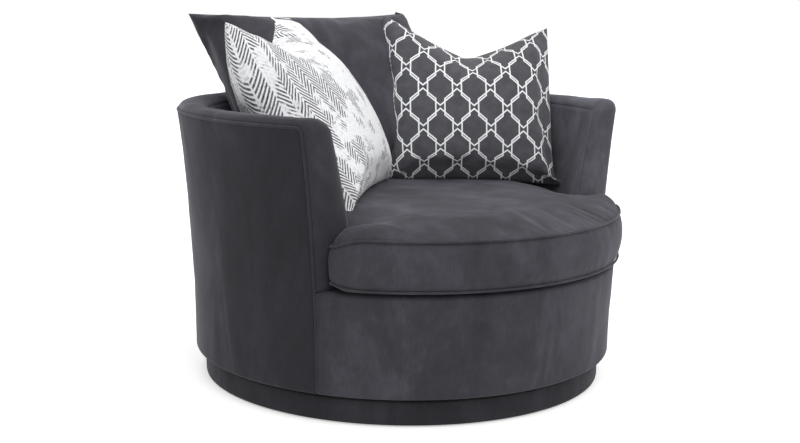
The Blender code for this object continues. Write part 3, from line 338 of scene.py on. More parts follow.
def herringbone_finish():
    """Off-white cloth with worn black strokes laid in chevron rows."""
    n = material_nodes("herringbone_print")
    cloth = n.place(uv="cloth")
    split = n.add("SeparateXYZ", {"Vector": cloth})
    x = n.plus(split.outputs["X"], n.noise(cloth, 5.0, 2.0, 0.5), 0.030)
    y = split.outputs["Y"]
    row = n.math("DIVIDE", x, CHEVRON_BAND)
    zigzag = n.math("PINGPONG", x, CHEVRON_BAND)
    pair = n.math("FLOOR", n.times(n.math("ADD", row, 1.0), 0.5))
    turn = n.plus(n.math("DIVIDE", n.plus(y, zigzag, CHEVRON_SLOPE), CHEVRON_PITCH), pair, 0.43)
    inked = n.smooth(n.math("ABSOLUTE", n.minus(n.math("FRACT", turn), 0.5)), 0.29, 0.21)
    edge = n.smooth(n.math("ABSOLUTE", n.minus(zigzag, CHEVRON_BAND / 2)),
                    CHEVRON_BAND * 0.47, CHEVRON_BAND * 0.42)
    joined = n.smooth(n.noise(cloth, 14.0, 1.0, 0.5), 0.50, 0.53)
    inked = n.times(inked, n.math("MAXIMUM", edge, joined))
    key = n.add("CombineXYZ", {"X": n.times(n.math("FLOOR", row), 3.71),
                                         "Y": n.times(y, 15.0)}).outputs[0]
    patch = n.noise(cloth, 11.0, 3.0, 0.6, 0.8)
    wear = n.blend((n.noise(key, 1.0, 2.0, 0.6), 0.7), (patch, 0.3))
    # Heavier ink towards the pillow's left and thinner towards its right: partly the print's own wear,
    # partly painted light that washes the print out where light falls strongly.
    side = n.smooth(n.minus(n.times(y, 0.4), x), -0.14, 0.16)
    streak = n.noise(n.place((3.2, 0.8, 1.0), "cloth"), 12.0, 3.0, 0.65)
    wear = n.blend((wear, 0.72), (streak, 0.28), (n.minus(side, 0.62), 0.07))
    heavy = n.smooth(wear, 0.475, 0.520)
    broken = n.smooth(n.noise(cloth, 150.0, 3.0, 0.7), 0.44, 0.56)
    ink = n.times(n.times(inked, n.plus(0.14, heavy, 0.86)),
                 n.math("MAXIMUM", broken, n.times(heavy, 0.86)))
    # The dark specks thin out towards the right too, partly as painted light.
    dust = n.smooth(n.noise(n.place((1.0, 0.35, 1.0), "cloth"), 190.0, 4.0, 0.8), 0.56, 0.64)
    ink = n.math("MAXIMUM", ink, n.times(dust, n.plus(0.24, side, 0.34)))
    uneven = n.noise(cloth, 16.0, 4.0, 0.6)
    ground = n.ramp(uneven, (0.30, (0.92, 0.92, 0.93)), (0.65, (0.97, 0.97, 0.98)))
    black = n.ramp(patch, (0.35, (0.016, 0.016, 0.018)), (0.75, (0.055, 0.055, 0.060)))
    weave = n.noise(n.place((1.0, 3.0, 1.0), "cloth"), 420.0, 2.0, 0.6)
    height = n.minus(weave, n.times(ink, 0.5))
    return n.look({
        "Base Color": n.mix(ink, ground, black), "Roughness": n.plus(0.80, uneven, 0.15),
        "Specular IOR Level": 0.25, "Sheen Weight": 0.12, "Normal": n.bump(height, 0.40, 0.0007)})


def wood_finish(name, light, dark, scale):
    """Boards and posts with grain."""
    n = material_nodes(name)
    place = n.place((1.0, 6.0, 6.0))
    rings = n.add("TexWave", {"Vector": place, "Scale": scale, "Distortion": 5.0,
                                        "Detail": 3.0, "Detail Scale": 1.5},
                  wave_type="RINGS").outputs["Fac"]
    grain = n.noise(n.place((2.0, 60.0, 60.0)), 8.0, 4.0, 0.7)
    both = n.blend((rings, 0.5), (grain, 0.5))
    return n.look({"Base Color": n.ramp(both, (0.25, dark), (0.75, light)),
                   "Roughness": n.plus(0.55, grain, 0.25), "Normal": n.bump(both, 0.25, 0.0008)})


def steel_finish(name, colour, roughness):
    """Bright or dark steel, slightly clouded and scratched."""
    n = material_nodes(name)
    cloud = n.noise(n.place(), 60.0, 4.0, 0.6)
    scratch = n.noise(n.place((1.0, 30.0, 1.0)), 120.0, 3.0, 0.7)
    clouded = n.ramp(cloud, (0.3, tuple(0.8 * c for c in colour)), (0.7, colour))
    return n.look({"Base Color": clouded, "Metallic": 1.0, "Normal": n.bump(scratch, 0.12, 0.0003),
                   "Roughness": n.plus(roughness - 0.08, cloud, 0.2)})


def grainy_finish(name, low, high, scale, roughness, depth):
    """A matt finish with cells or fibres: foam, lining, fibreboard, moulded plastic."""
    n = material_nodes(name)
    cells = n.add("TexVoronoi", {"Vector": n.place(), "Scale": scale}).outputs["Distance"]
    cloud = n.noise(n.place(), 30.0, 4.0, 0.6)
    both = n.blend((cells, 0.5), (cloud, 0.5))
    return n.look({"Base Color": n.ramp(both, (0.2, low), (0.75, high)),
                   "Roughness": n.plus(roughness - 0.05, cloud, 0.1),
                   "Normal": n.bump(cells, 0.4, depth)})


# Copies of the velvet, each with its colour multiplied by a light: painted light and shade. The
# outside and the plinth are painted darker, the front, seat, back cushion and inside lighter, the rim
# band lighter on the right arm.
VELVET = velvet_finish("charcoal_velvet_pile", 1.12)
VELVET_PAINTED_SHADE = velvet_finish("charcoal_velvet_painted_shade", 0.78, sheen=0.6)
VELVET_FRONT = velvet_finish("charcoal_velvet_front", 1.36, sheen=0.55)
VELVET_RIM = velvet_finish("charcoal_velvet_rim", 1.12, 2.60)
VELVET_SEAT = velvet_finish("charcoal_velvet_seat", 1.46, sheen=0.55)
VELVET_BACK = velvet_finish("charcoal_velvet_back", 1.50)
VELVET_PAINTED_LIGHT = velvet_finish("charcoal_velvet_painted_light", 2.60)
TRELLIS = trellis_finish()
HERRINGBONE = herringbone_finish()
FINISHES = {
    "charcoal_velvet": VELVET,
    "trellis_cloth": TRELLIS,
    "herringbone_cloth": HERRINGBONE,
    "plywood": wood_finish("birch_plywood", (0.62, 0.46, 0.28), (0.44, 0.30, 0.17), 3.0),
    "timber": wood_finish("pine_timber", (0.66, 0.50, 0.30), (0.46, 0.31, 0.16), 2.0),
    "fibreboard": grainy_finish("pressed_board", (0.22, 0.16, 0.10), (0.38, 0.29, 0.20), 700.0, 0.85,
                                0.0005),
    "foam": grainy_finish("cream_foam", (0.66, 0.58, 0.40), (0.86, 0.80, 0.62), 650.0, 0.92, 0.001),
    "zinc_plated_steel": steel_finish("zinc_plate", (0.62, 0.63, 0.65), 0.35),
    "spring_steel": steel_finish("oiled_steel", (0.26, 0.26, 0.27), 0.42),
    "black_plastic": grainy_finish("moulded_plastic", (0.018, 0.018, 0.019), (0.035, 0.035, 0.036),
                                   1200.0, 0.50, 0.0002),
    "black_lining": grainy_finish("woven_lining", (0.016, 0.016, 0.018), (0.040, 0.040, 0.043),
                                  1500.0, 0.90, 0.0004),
}
for row in frame["record"]["subparts"]:
    piece = nodes[row["node"]]
    for slot in piece.material_slots:
        slot.material = FINISHES[row["material_slot"]]


# Fine meshes

CLOTH_FRAMES = 20
CLOTH = {"quality": 5, "mass": 0.3, "tension_stiffness": 18.0, "compression_stiffness": 18.0,
         "shear_stiffness": 6.0, "bending_stiffness": 0.4, "use_pressure": True,
         "uniform_pressure_force": 4.0}


def make_object(name, mesh, material, smooth=True):
    """Put a mesh into the scene."""
    if smooth:
        mesh.shade_smooth()
    mesh.materials.append(material)
    obj = bpy.data.objects.new(name, mesh)
    bpy.context.scene.collection.objects.link(obj)
    return obj


def grid_mesh(name, rows, close_rows=False, close_columns=False, flip=False):
    """A mesh over rows of points."""
    height = len(rows)
    width = len(rows[0])
    points = [tuple(p) for row in rows for p in row]
    faces = []
    for i in range(height if close_rows else height - 1):
        low = i * width
        high = (i + 1) % height * width
        for j in range(width if close_columns else width - 1):
            after = (j + 1) % width
            corners = (low + j, low + after, high + after, high + j)
            faces.append(corners[::-1] if flip else corners)
    mesh = bpy.data.meshes.new(name)
    mesh.from_pydata(points, [], faces)
    mesh.update()
    return mesh


def shell(name, rows, thickness, inward, material, **options):
    """A cover: a fine grid with a thickness on its inner side."""
    obj = make_object(name, grid_mesh(name, rows, **options), material)
    solid = obj.modifiers.new("thickness", "SOLIDIFY")
    solid.thickness = thickness
    solid.offset = -1.0 if inward else 1.0
    return obj


def piping(name, path, radius, closed=False, sides=10):
    """A round welt along a path, as a mesh."""
    points = [Vector(p) for p in path]
    count = len(points)
    turns = [2 * math.pi * k / sides for k in range(sides)]
    rings = []
    side = None
    for i, point in enumerate(points):
        before = points[i - 1] if closed or i else point
        after = points[(i + 1) % count] if closed or i < count - 1 else point
        way = (after - before).normalized()
        if side is None:
            side = way.orthogonal().normalized()
        side = (side - way * side.dot(way)).normalized()
        other = way.cross(side)
        rings.append([point + side * (radius * math.cos(turn)) + other * (radius * math.sin(turn))
                      for turn in turns])
    if closed:
        first, last = rings[0], rings[-1]
        shift = min(range(sides), key=lambda s: sum(
            (last[k] - first[(k + s) % sides]).length for k in range(sides)))
        for i, ring in enumerate(rings):
            part = shift * i / count
            whole = int(part)
            rings[i] = [ring[(k - whole) % sides].lerp(ring[(k - whole - 1) % sides], part - whole)
                        for k in range(sides)]
    mesh = grid_mesh(name, rings, close_rows=closed, close_columns=True, flip=True)
    if not closed:
        bm = bmesh.new()
        bm.from_mesh(mesh)
        bmesh.ops.holes_fill(bm, edges=[e for e in bm.edges if e.is_boundary])
        bm.to_mesh(mesh)
        bm.free()
    mesh.update()
    return make_object(name, mesh, VELVET)


def places_of(mesh):
    """Where the vertices of a mesh lie."""
    places = np.empty(len(mesh.vertices) * 3)
    mesh.vertices.foreach_get("co", places)
    return places.reshape(-1, 3)


def inflate(obj, cap, looser, held=None):
    """Let the cloth of a cushion settle under its filling's pressure, moving by a cap at most.

    It is cut looser by a share, and the vertices marked as held stay where they are.
    """
    scene = bpy.context.scene
    rest = places_of(obj.data)
    cloth = obj.modifiers.new("cloth", "CLOTH")
    settings = cloth.settings
    for key, value in CLOTH.items():
        setattr(settings, key, value)
    settings.shrink_min = -looser
    settings.effector_weights.gravity = 0.0
    cloth.collision_settings.use_collision = False
    cloth.point_cache.frame_start = 1
    cloth.point_cache.frame_end = CLOTH_FRAMES
    if held is not None:
        group = obj.vertex_groups.new(name="held")
        group.add(np.flatnonzero(held).tolist(), 1.0, "REPLACE")
        settings.vertex_group_mass = "held"
    for number in range(1, CLOTH_FRAMES + 1):
        scene.frame_set(number)
    moved = places_of(obj.evaluated_get(bpy.context.evaluated_depsgraph_get()).data)
    obj.modifiers.remove(cloth)
    scene.frame_set(1)
    shift = moved - rest
    length = np.linalg.norm(shift, axis=1, keepdims=True)
    shift *= np.minimum(1.0, cap / np.maximum(length, 1e-9))
    obj.data.vertices.foreach_set("co", (rest + shift).ravel())
    obj.data.update()


def round_off(obj):
    """Divide the faces of a cushion once more, so that they look round."""
    finer = obj.modifiers.new("finer", "SUBSURF")
    finer.levels = 1
    finer.render_levels = 1


def ripple(point, size, depth, seed=0.0):
    """A soft unevenness of the stuffing under a cover."""
    return depth * noise.noise(Vector(point) / size + Vector((seed, seed * 1.7, -seed)))


def spread(low, high, count):
    """Evenly spaced values, both ends included."""
    return [low + (high - low) * i / (count - 1) for i in range(count)]


def front_angle(radius, reach):
    """The angle from the front at which a circle crosses the plane y = -reach."""
    return math.acos(max(-1.0, min(1.0, reach / radius)))


def arm_reach_at(z):
    """How far forward the arm's side view reaches at a height, with its rounded corner."""
    up = z - (RIM_SEAM - RIM_CORNER)
    if up <= 0:
        return ARM_REACH
    up = min(up, RIM_CORNER)
    return ARM_REACH - RIM_CORNER + math.sqrt(RIM_CORNER ** 2 - up ** 2)


def hem_profile():
    """The lower edge of the body, turned under, from the inside out."""
    points = [(FOOT_RADIUS - EDGE_ROUNDING - 0.004, BODY_BOTTOM + 0.001),
              (FOOT_RADIUS - EDGE_ROUNDING, BODY_BOTTOM)]
    for turn in map(math.radians, (20, 40, 60, 80)):
        points.append((FOOT_RADIUS - EDGE_ROUNDING * (1 - math.sin(turn)),
                       BODY_BOTTOM + EDGE_ROUNDING * (1 - math.cos(turn))))
    return points


def cover_rows(profile, reach_at, count, fades, ripples, front=False):
    """Rows of points round the swivel axis, one for each radius and height of a profile.

    A row lies behind a plane that reaches so far to the front, or in front of it. The stuffing's
    unevenness fades at a low and a high edge and at the row's ends. A row without a fade at its
    ends goes all the way round.
    """
    low, low_fade, high, high_fade, end_fade = fades
    rows = []
    for radius, z in profile:
        start = front_angle(radius, reach_at(z))
        first, last = (-start, start) if front else (start, 2 * math.pi - start)
        row = []
        for angle in spread(first, last, count if end_fade else count + 1)[:count]:
            shares = [1.0, (z - low) / low_fade, (high - z) / high_fade]
            if end_fade:
                shares.append(min(angle - first, last - angle) / end_fade)
            swell = sum(ripple(plan(radius, angle, z), *form) for form in ripples)
            row.append(plan(radius + max(0.0, min(shares)) * swell, angle, z))
        rows.append(row)
    return rows


# The body's covers

BARREL_POINTS = 200
APRON_POINTS = 110
PLINTH_POINTS = 240
THICKNESS = 0.0015

heights = spread(BODY_BOTTOM + EDGE_ROUNDING, RIM_SEAM - RIM_CORNER, 44)
heights += [RIM_SEAM - RIM_CORNER + RIM_CORNER * math.sin(math.radians(d)) for d in range(10, 90, 10)]
heights += [RIM_SEAM - 0.0002]
outside_profile = hem_profile() + [(shell_radius(z), z) for z in heights]
rows = cover_rows(outside_profile, lambda z: arm_reach_at(z) + 0.0005, BARREL_POINTS,
                  (BODY_BOTTOM, 0.05, RIM_SEAM, 0.05, 0.15), [(0.16, 0.0022), (0.05, 0.0008, 3.0)])
outside = shell("outer_velvet", rows, THICKNESS, True, VELVET_PAINTED_SHADE)
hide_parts("outside_cover")

inside_profile = [(inner_radius(z), z) for z in spread(DECK_TOP - 0.024, RIM_SEAM - RIM_ROLL, 34)]
rows = cover_rows(inside_profile, lambda z: arm_reach_at(z) - 0.002, BARREL_POINTS,
                  (0.0, 0.05, RIM_SEAM, 0.05, 0.15), [(0.13, -0.0020, 7.0)])
inside = shell("inner_velvet", rows, THICKNESS, False, VELVET_PAINTED_LIGHT)
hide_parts("inside_cover")

deck_edge = shell_radius(DECK_TOP)
apron_profile = hem_profile() + [
    (shell_radius(z), z) for z in spread(BODY_BOTTOM + EDGE_ROUNDING, DECK_TOP - APRON_ROUNDING, 22)]
for turn in map(math.radians, (15, 30, 45, 60, 75, 90)):
    apron_profile.append((deck_edge - APRON_ROUNDING * (1 - math.cos(turn)),
                          DECK_TOP - APRON_ROUNDING * (1 - math.sin(turn))))
apron_profile += [(deck_edge - share * APRON_LEDGE, DECK_TOP) for share in (0.45, 0.7, 1.0)]
rows = cover_rows(apron_profile, lambda _: ARM_REACH + 0.0015, APRON_POINTS,
                  (BODY_BOTTOM, 0.05, DECK_TOP, 0.03, 0.12),
                  [(0.16, 0.0022, 5.0), (0.05, 0.0008, 2.0)], front=True)
apron = shell("front_velvet", rows, THICKNESS, True, VELVET_FRONT)
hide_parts("front_apron")

plinth_profile = [(PLINTH_RADIUS - PLINTH_TURN_IN, PLINTH_HEIGHT - 0.0002),
                  (PLINTH_RADIUS - 0.012, PLINTH_HEIGHT)]
for turn in map(math.radians, (0, 25, 50, 75, 90)):
    plinth_profile.append((PLINTH_RADIUS - PLINTH_ROUNDING * (1 - math.sin(turn)),
                           PLINTH_HEIGHT - PLINTH_ROUNDING * (1 - math.cos(turn))))
plinth_profile += [(PLINTH_RADIUS, z) for z in spread(0.052, 0.008, 10)]
plinth_profile += [(PLINTH_RADIUS - 0.0008, GLIDE_HEIGHT / 2 + 0.0012),
                   (PLINTH_RADIUS - 0.0022, GLIDE_HEIGHT / 2)]
rows = cover_rows(plinth_profile, lambda _: PLINTH_RADIUS, PLINTH_POINTS,
                  (GLIDE_HEIGHT, 0.015, PLINTH_HEIGHT, 0.012, None), [(0.07, 0.0012, 9.0)])
plinth = shell("plinth_velvet", rows, THICKNESS, True, VELVET_PAINTED_SHADE, close_columns=True, flip=True)
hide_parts("plinth_cover")


# The band over the rim and down both arm fronts

BAND_THICKNESS = 0.0012
RIGHT_ARM_FULLER = 0.007       # how much more the band swells near the front of the right arm
INNER_BOW = (2.2, 0.70)        # powers of the band's section on its inner half
OUTER_BOW = (2.8, 0.55)        # and on its outer half


def band_stations():
    """Seam point, inner edge and facing, from the foot of the right arm front round to the left."""
    stations = []
    places = [(ARM_REACH, z, 0.0) for z in spread(DECK_TOP + GAP, RIM_SEAM - RIM_CORNER, 40)]
    for tilt in map(math.radians, range(10, 91, 10)):
        places.append((ARM_REACH - RIM_CORNER * (1 - math.cos(tilt)),
                       RIM_SEAM - RIM_CORNER * (1 - math.sin(tilt)), tilt))
    for reach, z, tilt in places:
        outer_radius = shell_radius(z) - WELT_INSET
        outer = plan(outer_radius, front_angle(outer_radius, reach), z)
        inner = plan(inner_radius(z), front_angle(inner_radius(z), reach), z)
        stations.append((outer, inner, Vector((0.0, -math.cos(tilt), math.sin(tilt)))))
    outer_radius = shell_radius(RIM_SEAM) - WELT_INSET
    outer_start = front_angle(outer_radius, ARM_REACH - RIM_CORNER)
    inner_start = front_angle(INNER_RIM, ARM_REACH - RIM_CORNER)
    for share in spread(0.0, 1.0, 90)[1:]:
        outer = plan(outer_radius, outer_start + (math.pi - outer_start) * share, RIM_SEAM)
        inner = plan(INNER_RIM, inner_start + (math.pi - inner_start) * share, RIM_SEAM)
        stations.append((outer, inner, Vector((0.0, 0.0, 1.0))))
    mirror = Vector((-1.0, 1.0, 1.0))
    for outer, inner, facing in reversed(stations[:-1]):
        stations.append((outer * mirror, inner * mirror, facing))
    return stations


stations = band_stations()
rows = []
for outer, inner, facing in stations:
    across = inner - outer
    row = [outer + across * 0.035 + facing * 0.0002]
    plump = ARM_CROWN + (RIM_CROWN - ARM_CROWN) * facing.z
    if outer.x > 0:
        plump += RIGHT_ARM_FULLER * facing.z * math.exp(-((outer.y + ARM_REACH) / 0.10) ** 2)
    for share in spread(0.0, 1.0, 23):
        flat, blunt = INNER_BOW if share > 0.5 else OUTER_BOW
        bow = max(0.0, 1.0 - abs(2 * share - 1.0) ** flat) ** blunt
        lift = BAND_LIFT * min(1.0, 0.15 + 6 * share) * (1 - share ** 5) + plump * bow
        lift -= RIM_ROLL * share ** 5
        point = outer + across * (0.012 + 0.988 * share) + facing * lift
        point += facing * bow * (ripple(point, 0.10, 0.0016, 4.0) + ripple(point, 0.035, 0.0006, 8.0))
        row.append(point)
    row.append(inner - across * 0.02 - facing * (RIM_ROLL + 0.002))
    rows.append(row)
band = shell("rim_velvet", rows, BAND_THICKNESS, True, VELVET_RIM)
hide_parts("rim_band")

right = []
for z in spread(BODY_BOTTOM + EDGE_ROUNDING, DECK_TOP, 24):
    radius = shell_radius(z) - WELT_INSET
    right.append(plan(radius, front_angle(radius, ARM_REACH), z))
whole = right + [s[0] for s in stations] + [Vector((-p.x, p.y, p.z)) for p in reversed(right)]
rim_welt = piping("rim_piping", whole, WELT_RADIUS)
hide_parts("rim_welt")
for piece in (outside, inside, apron, band, rim_welt):
    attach(piece, "chair")
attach(plinth, "base")


# The seat cushion

SEAT_STITCH = 0.0070     # from point to point of its outline
GROOVE = 2 * CUSHION_WELT + GAP
PANEL_SPACING = 0.0135
PANEL_RINGS = (0.005, 0.011, 0.018)
EAR_REACH = 0.034
EAR_DRAWN_UP = 0.010
EAR_DRAWN_DOWN = 0.022
RIGHT_STEP_PUSH = 0.024
LEFT_STEP_PUSH = 0.013
STEP_REACH = 0.070
FULL_REACH = 0.15        # how far from the ears the top is fuller


def rounded(corners, step):
    """A closed outline as evenly spaced points, from corners of a place and a rounding each."""
    path = []
    for i, (*place, radius) in enumerate(corners):
        here = Vector(place)
        before = Vector(corners[i - 1][:2]) - here
        after = Vector(corners[(i + 1) % len(corners)][:2]) - here
        if radius <= 0:
            path.append(here)
            continue
        angle = before.angle(after)
        cut = min(radius / math.tan(angle / 2), before.length * 0.49, after.length * 0.49)
        start = here + before.normalized() * cut
        end = here + after.normalized() * cut
        for share in spread(0.0, 1.0, 7):
            path.append(start * (1 - share) ** 2 + here * 2 * share * (1 - share) + end * share ** 2)
    closed = path + [path[0]]
    lengths = [0.0]
    for a, b in zip(closed, closed[1:]):
        lengths.append(lengths[-1] + (b - a).length)
    total = lengths[-1]
    number = int(total / step)
    result = []
    k = 0
    for i in range(number):
        target = total * i / number
        while lengths[k + 1] < target:
            k += 1
        share = (target - lengths[k]) / max(lengths[k + 1] - lengths[k], 1e-9)
        result.append(closed[k].lerp(closed[k + 1], share))
    return result


def seat_outline():
    """The plan of the seat cushion, anticlockwise from the front."""
    ear_angle = math.asin(CUSHION_EAR / CUSHION_FRONT)
    start = front_angle(CUSHION_BACK, -SEAT_STEP)
    corners = [(*plan(CUSHION_FRONT, angle).xy, 0.0) for angle in spread(0.0, ear_angle, 40)]
    corners[-1] = (*corners[-1][:2], 0.018)
    corners.append((CUSHION_EAR, SEAT_STEP, 0.010))
    corners += [(*plan(CUSHION_BACK, angle).xy, 0.0) for angle in spread(start, math.pi, 50)]
    return corners + [(-x, y, radius) for x, y, radius in reversed(corners[1:-1])]


outline = rounded(seat_outline(), SEAT_STITCH)
COUNT = len(outline)
outline_array = np.array([tuple(p) for p in outline])


def seat_ring(inset_by):
    """The outline of the seat drawn in by a distance."""
    ring = []
    for i, point in enumerate(outline):
        way = (outline[(i + 1) % COUNT] - outline[i - 1]).normalized()
        ring.append(point + Vector((-way.y, way.x)) * inset_by)
    return ring


def edge_distance(points):
    """How far each point lies from the outline."""
    places = np.array([tuple(p)[:2] for p in points])
    nearest = np.empty(len(places))
    for start in range(0, len(places), 500):
        part = places[start:start + 500, None, :] - outline_array[None, :, :]
        nearest[start:start + 500] = np.sqrt((part ** 2).sum(-1).min(1))
    return nearest


def seat_panel(spacing):
    """Flat points and triangles that fill the seat's outline inside its welt."""
    points = seat_ring(GROOVE)
    for inset_by in PANEL_RINGS:
        ring = seat_ring(GROOVE + inset_by)[::2]
        away = edge_distance(ring)
        points += [p for p, far in zip(ring, away) if far > GROOVE + inset_by - 0.0008]
    grid = []
    row = 0
    y = -CUSHION_FRONT
    while y < CUSHION_BACK:
        x = -CUSHION_FRONT + (spacing / 2 if row % 2 else 0.0)
        while x < CUSHION_FRONT:
            grid.append(Vector((x, y)))
            x += spacing
        y += spacing * 0.87
        row += 1
    inside_step = [p for p in grid if p.length < CUSHION_BACK or (
        p.y < SEAT_STEP and abs(p.x) < CUSHION_EAR and p.length < CUSHION_FRONT)]
    away = edge_distance(inside_step)
    clear = GROOVE + PANEL_RINGS[-1] + spacing * 0.6
    points += [p for p, far in zip(inside_step, away) if far > clear]
    edges = [(i, (i + 1) % COUNT) for i in range(COUNT)]
    flat, _, triangles, *_ = delaunay_2d_cdt(points, edges, [], 1, 1e-7)
    return flat, triangles


def at_ear(point, reach=EAR_REACH):
    """1 at the tips of the two ears of the seat, and 0 away from them."""
    away = math.hypot(abs(point.x) - CUSHION_EAR, 0.6 * (point.y - SEAT_STEP))
    return math.exp(-(away / reach) ** 2)


def low_welt(point):
    """Height of the lower welt, which is drawn up at the ears."""
    return LOW_WELT + EAR_DRAWN_UP * at_ear(point)


def top_welt(point):
    """Height of the upper welt, drawn down at the ears and pushed up at the step behind the arms."""
    away = math.hypot(abs(point.x) - STEP_CORNER, point.y - SEAT_STEP)
    push = RIGHT_STEP_PUSH if point.x > 0 else LEFT_STEP_PUSH
    return TOP_WELT - EAR_DRAWN_DOWN * at_ear(point) + push * math.exp(-(away / STEP_REACH) ** 2)


def seat_top(point, far):
    """Height of the top of the seat, a distance in from its outline."""
    flat = (point.x, point.y, 0.0)
    inward = max(0.0, far - GROOVE)
    full = at_ear(point, FULL_REACH)
    rise = 1.0 - math.exp(-inward / (0.034 - 0.017 * full))
    tuck = math.exp(-((inward - 0.009) / 0.011) ** 2)
    pucker = ripple(flat, 0.021, 0.0016, 11.0) * math.exp(-inward / 0.022)
    soft = ripple(flat, 0.16, 0.0040, 6.0) + ripple(flat, 0.06, 0.0012, 1.0)
    start = (0.62 + 0.30 * full) * CUSHION_CROWN
    height = start * rise + 0.0020 * tuck * min(1.0, inward / 0.003) + rise * soft
    edge = top_welt(point) + (TOP_WELT - top_welt(point)) * (1.0 - math.exp(-inward / 0.012))
    return edge + height + min(1.0, inward / 0.01) * pucker


def seat_underside(point, far):
    """Height of the underside, which rests on the deck."""
    inward = max(0.0, far - GROOVE)
    low = low_welt(point)
    return low - (low - LOW_WELT + 0.0098) * (1.0 - math.exp(-inward / 0.010))


def seat_boxing(rows):
    """Rows of the boxing between the two welts."""
    inner = seat_ring(GROOVE)
    outer = seat_ring(-0.0035)
    result = []
    for share in spread(0.0, 1.0, rows):
        bow = math.sin(math.pi * share) ** 0.5
        ring = []
        for a, b in zip(inner, outer):
            z = low_welt(a) * (1 - share) + top_welt(a) * share
            here = a.lerp(b, bow)
            swell = ripple((here.x, here.y, z), 0.10, 0.0016, 2.0)
            swell += ripple((here.x, here.y, z * 0.35), 0.028, 0.0007, 5.0)
            swell += ripple((here.x, here.y, z * 0.8), 0.012, 0.0022, 4.0) * at_ear(here)
            here = here + (b - a).normalized() * bow * swell
            ring.append(Vector((here.x, here.y, z)))
        result.append(ring)
    return result


def seat_cushion_mesh():
    """The closed cushion, before its cloth settles."""
    flat, triangles = seat_panel(PANEL_SPACING)
    away = edge_distance(flat)
    mesh = bpy.data.meshes.new("seat_cushion_velvet")
    bm = bmesh.new()
    for height, flip in ((seat_top, False), (seat_underside, True)):
        verts = [bm.verts.new((p.x, p.y, height(p, far))) for p, far in zip(flat, away)]
        for triangle in triangles:
            corners = [verts[k] for k in triangle]
            bm.faces.new(reversed(corners) if flip else corners)
    rows = [[bm.verts.new(p) for p in ring] for ring in seat_boxing(13)]
    for below, above in zip(rows, rows[1:]):
        for i in range(COUNT):
            j = (i + 1) % COUNT
            bm.faces.new((below[i], below[j], above[j], above[i]))
    bmesh.ops.remove_doubles(bm, verts=bm.verts, dist=0.00005)
    bmesh.ops.recalc_face_normals(bm, faces=bm.faces)
    bm.to_mesh(mesh)
    bm.free()
    return mesh


seat = make_object("seat_cushion_velvet", seat_cushion_mesh(), VELVET_SEAT)
places = [v.co for v in seat.data.vertices]
heights = np.array([p.z for p in places])
low = np.array([low_welt(p) for p in places])
high = np.array([top_welt(p) for p in places])
welted = edge_distance(places) < GROOVE + 0.0004
on_welt = welted & ((abs(heights - low) < 0.0005) | (abs(heights - high) < 0.0005))
inflate(seat, 0.014, 0.004, held=on_welt | (heights < low - 0.0001))
round_off(seat)
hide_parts("seat_cushion")
welts = []
for name, node, height in (("seat_piping_lower", "seat_welt_lower", low_welt),
                           ("seat_piping_upper", "seat_welt_upper", top_welt)):
    path = [(p.x, p.y, height(p)) for p in seat_ring(CUSHION_WELT)]
    welt = piping(name, path, CUSHION_WELT, closed=True)
    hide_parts(node)
    welts.append(welt)
for piece in (seat, *welts):
    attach(piece, "seat")


# The loose back cushion and the toss pillows

FALL_POWER = 2.5
CHOP_ROUND = 0.05        # how round the valley of a chop is, of half a side
CHOP_DEEP = 0.30
CHOP_THINNING = 4.7
CHOP_SET_BACK = 0.45     # how far a chop bends the pillow back, of its depth
CLOTH_SLACK = 0.28       # how much of the cloth's length bends round the edges
BACK_HEIGHT = 0.540
BACK_WIDTH = 2 * (DECK_RADIUS - 0.090)
BACK_SETOFF = 0.260      # from the inside of the barrel to the middle of its lower edge
BACK_DROP = 0.022        # its lower corners reach this far below the top of the seat
PILLOW_DROP = 0.020      # and those of the toss pillows
WHITE_SIDE = 0.540
DARK_SIDE = 0.490
DARK_STANDS = 0.480      # the dark pillow's height when it stands, since its edges draw in


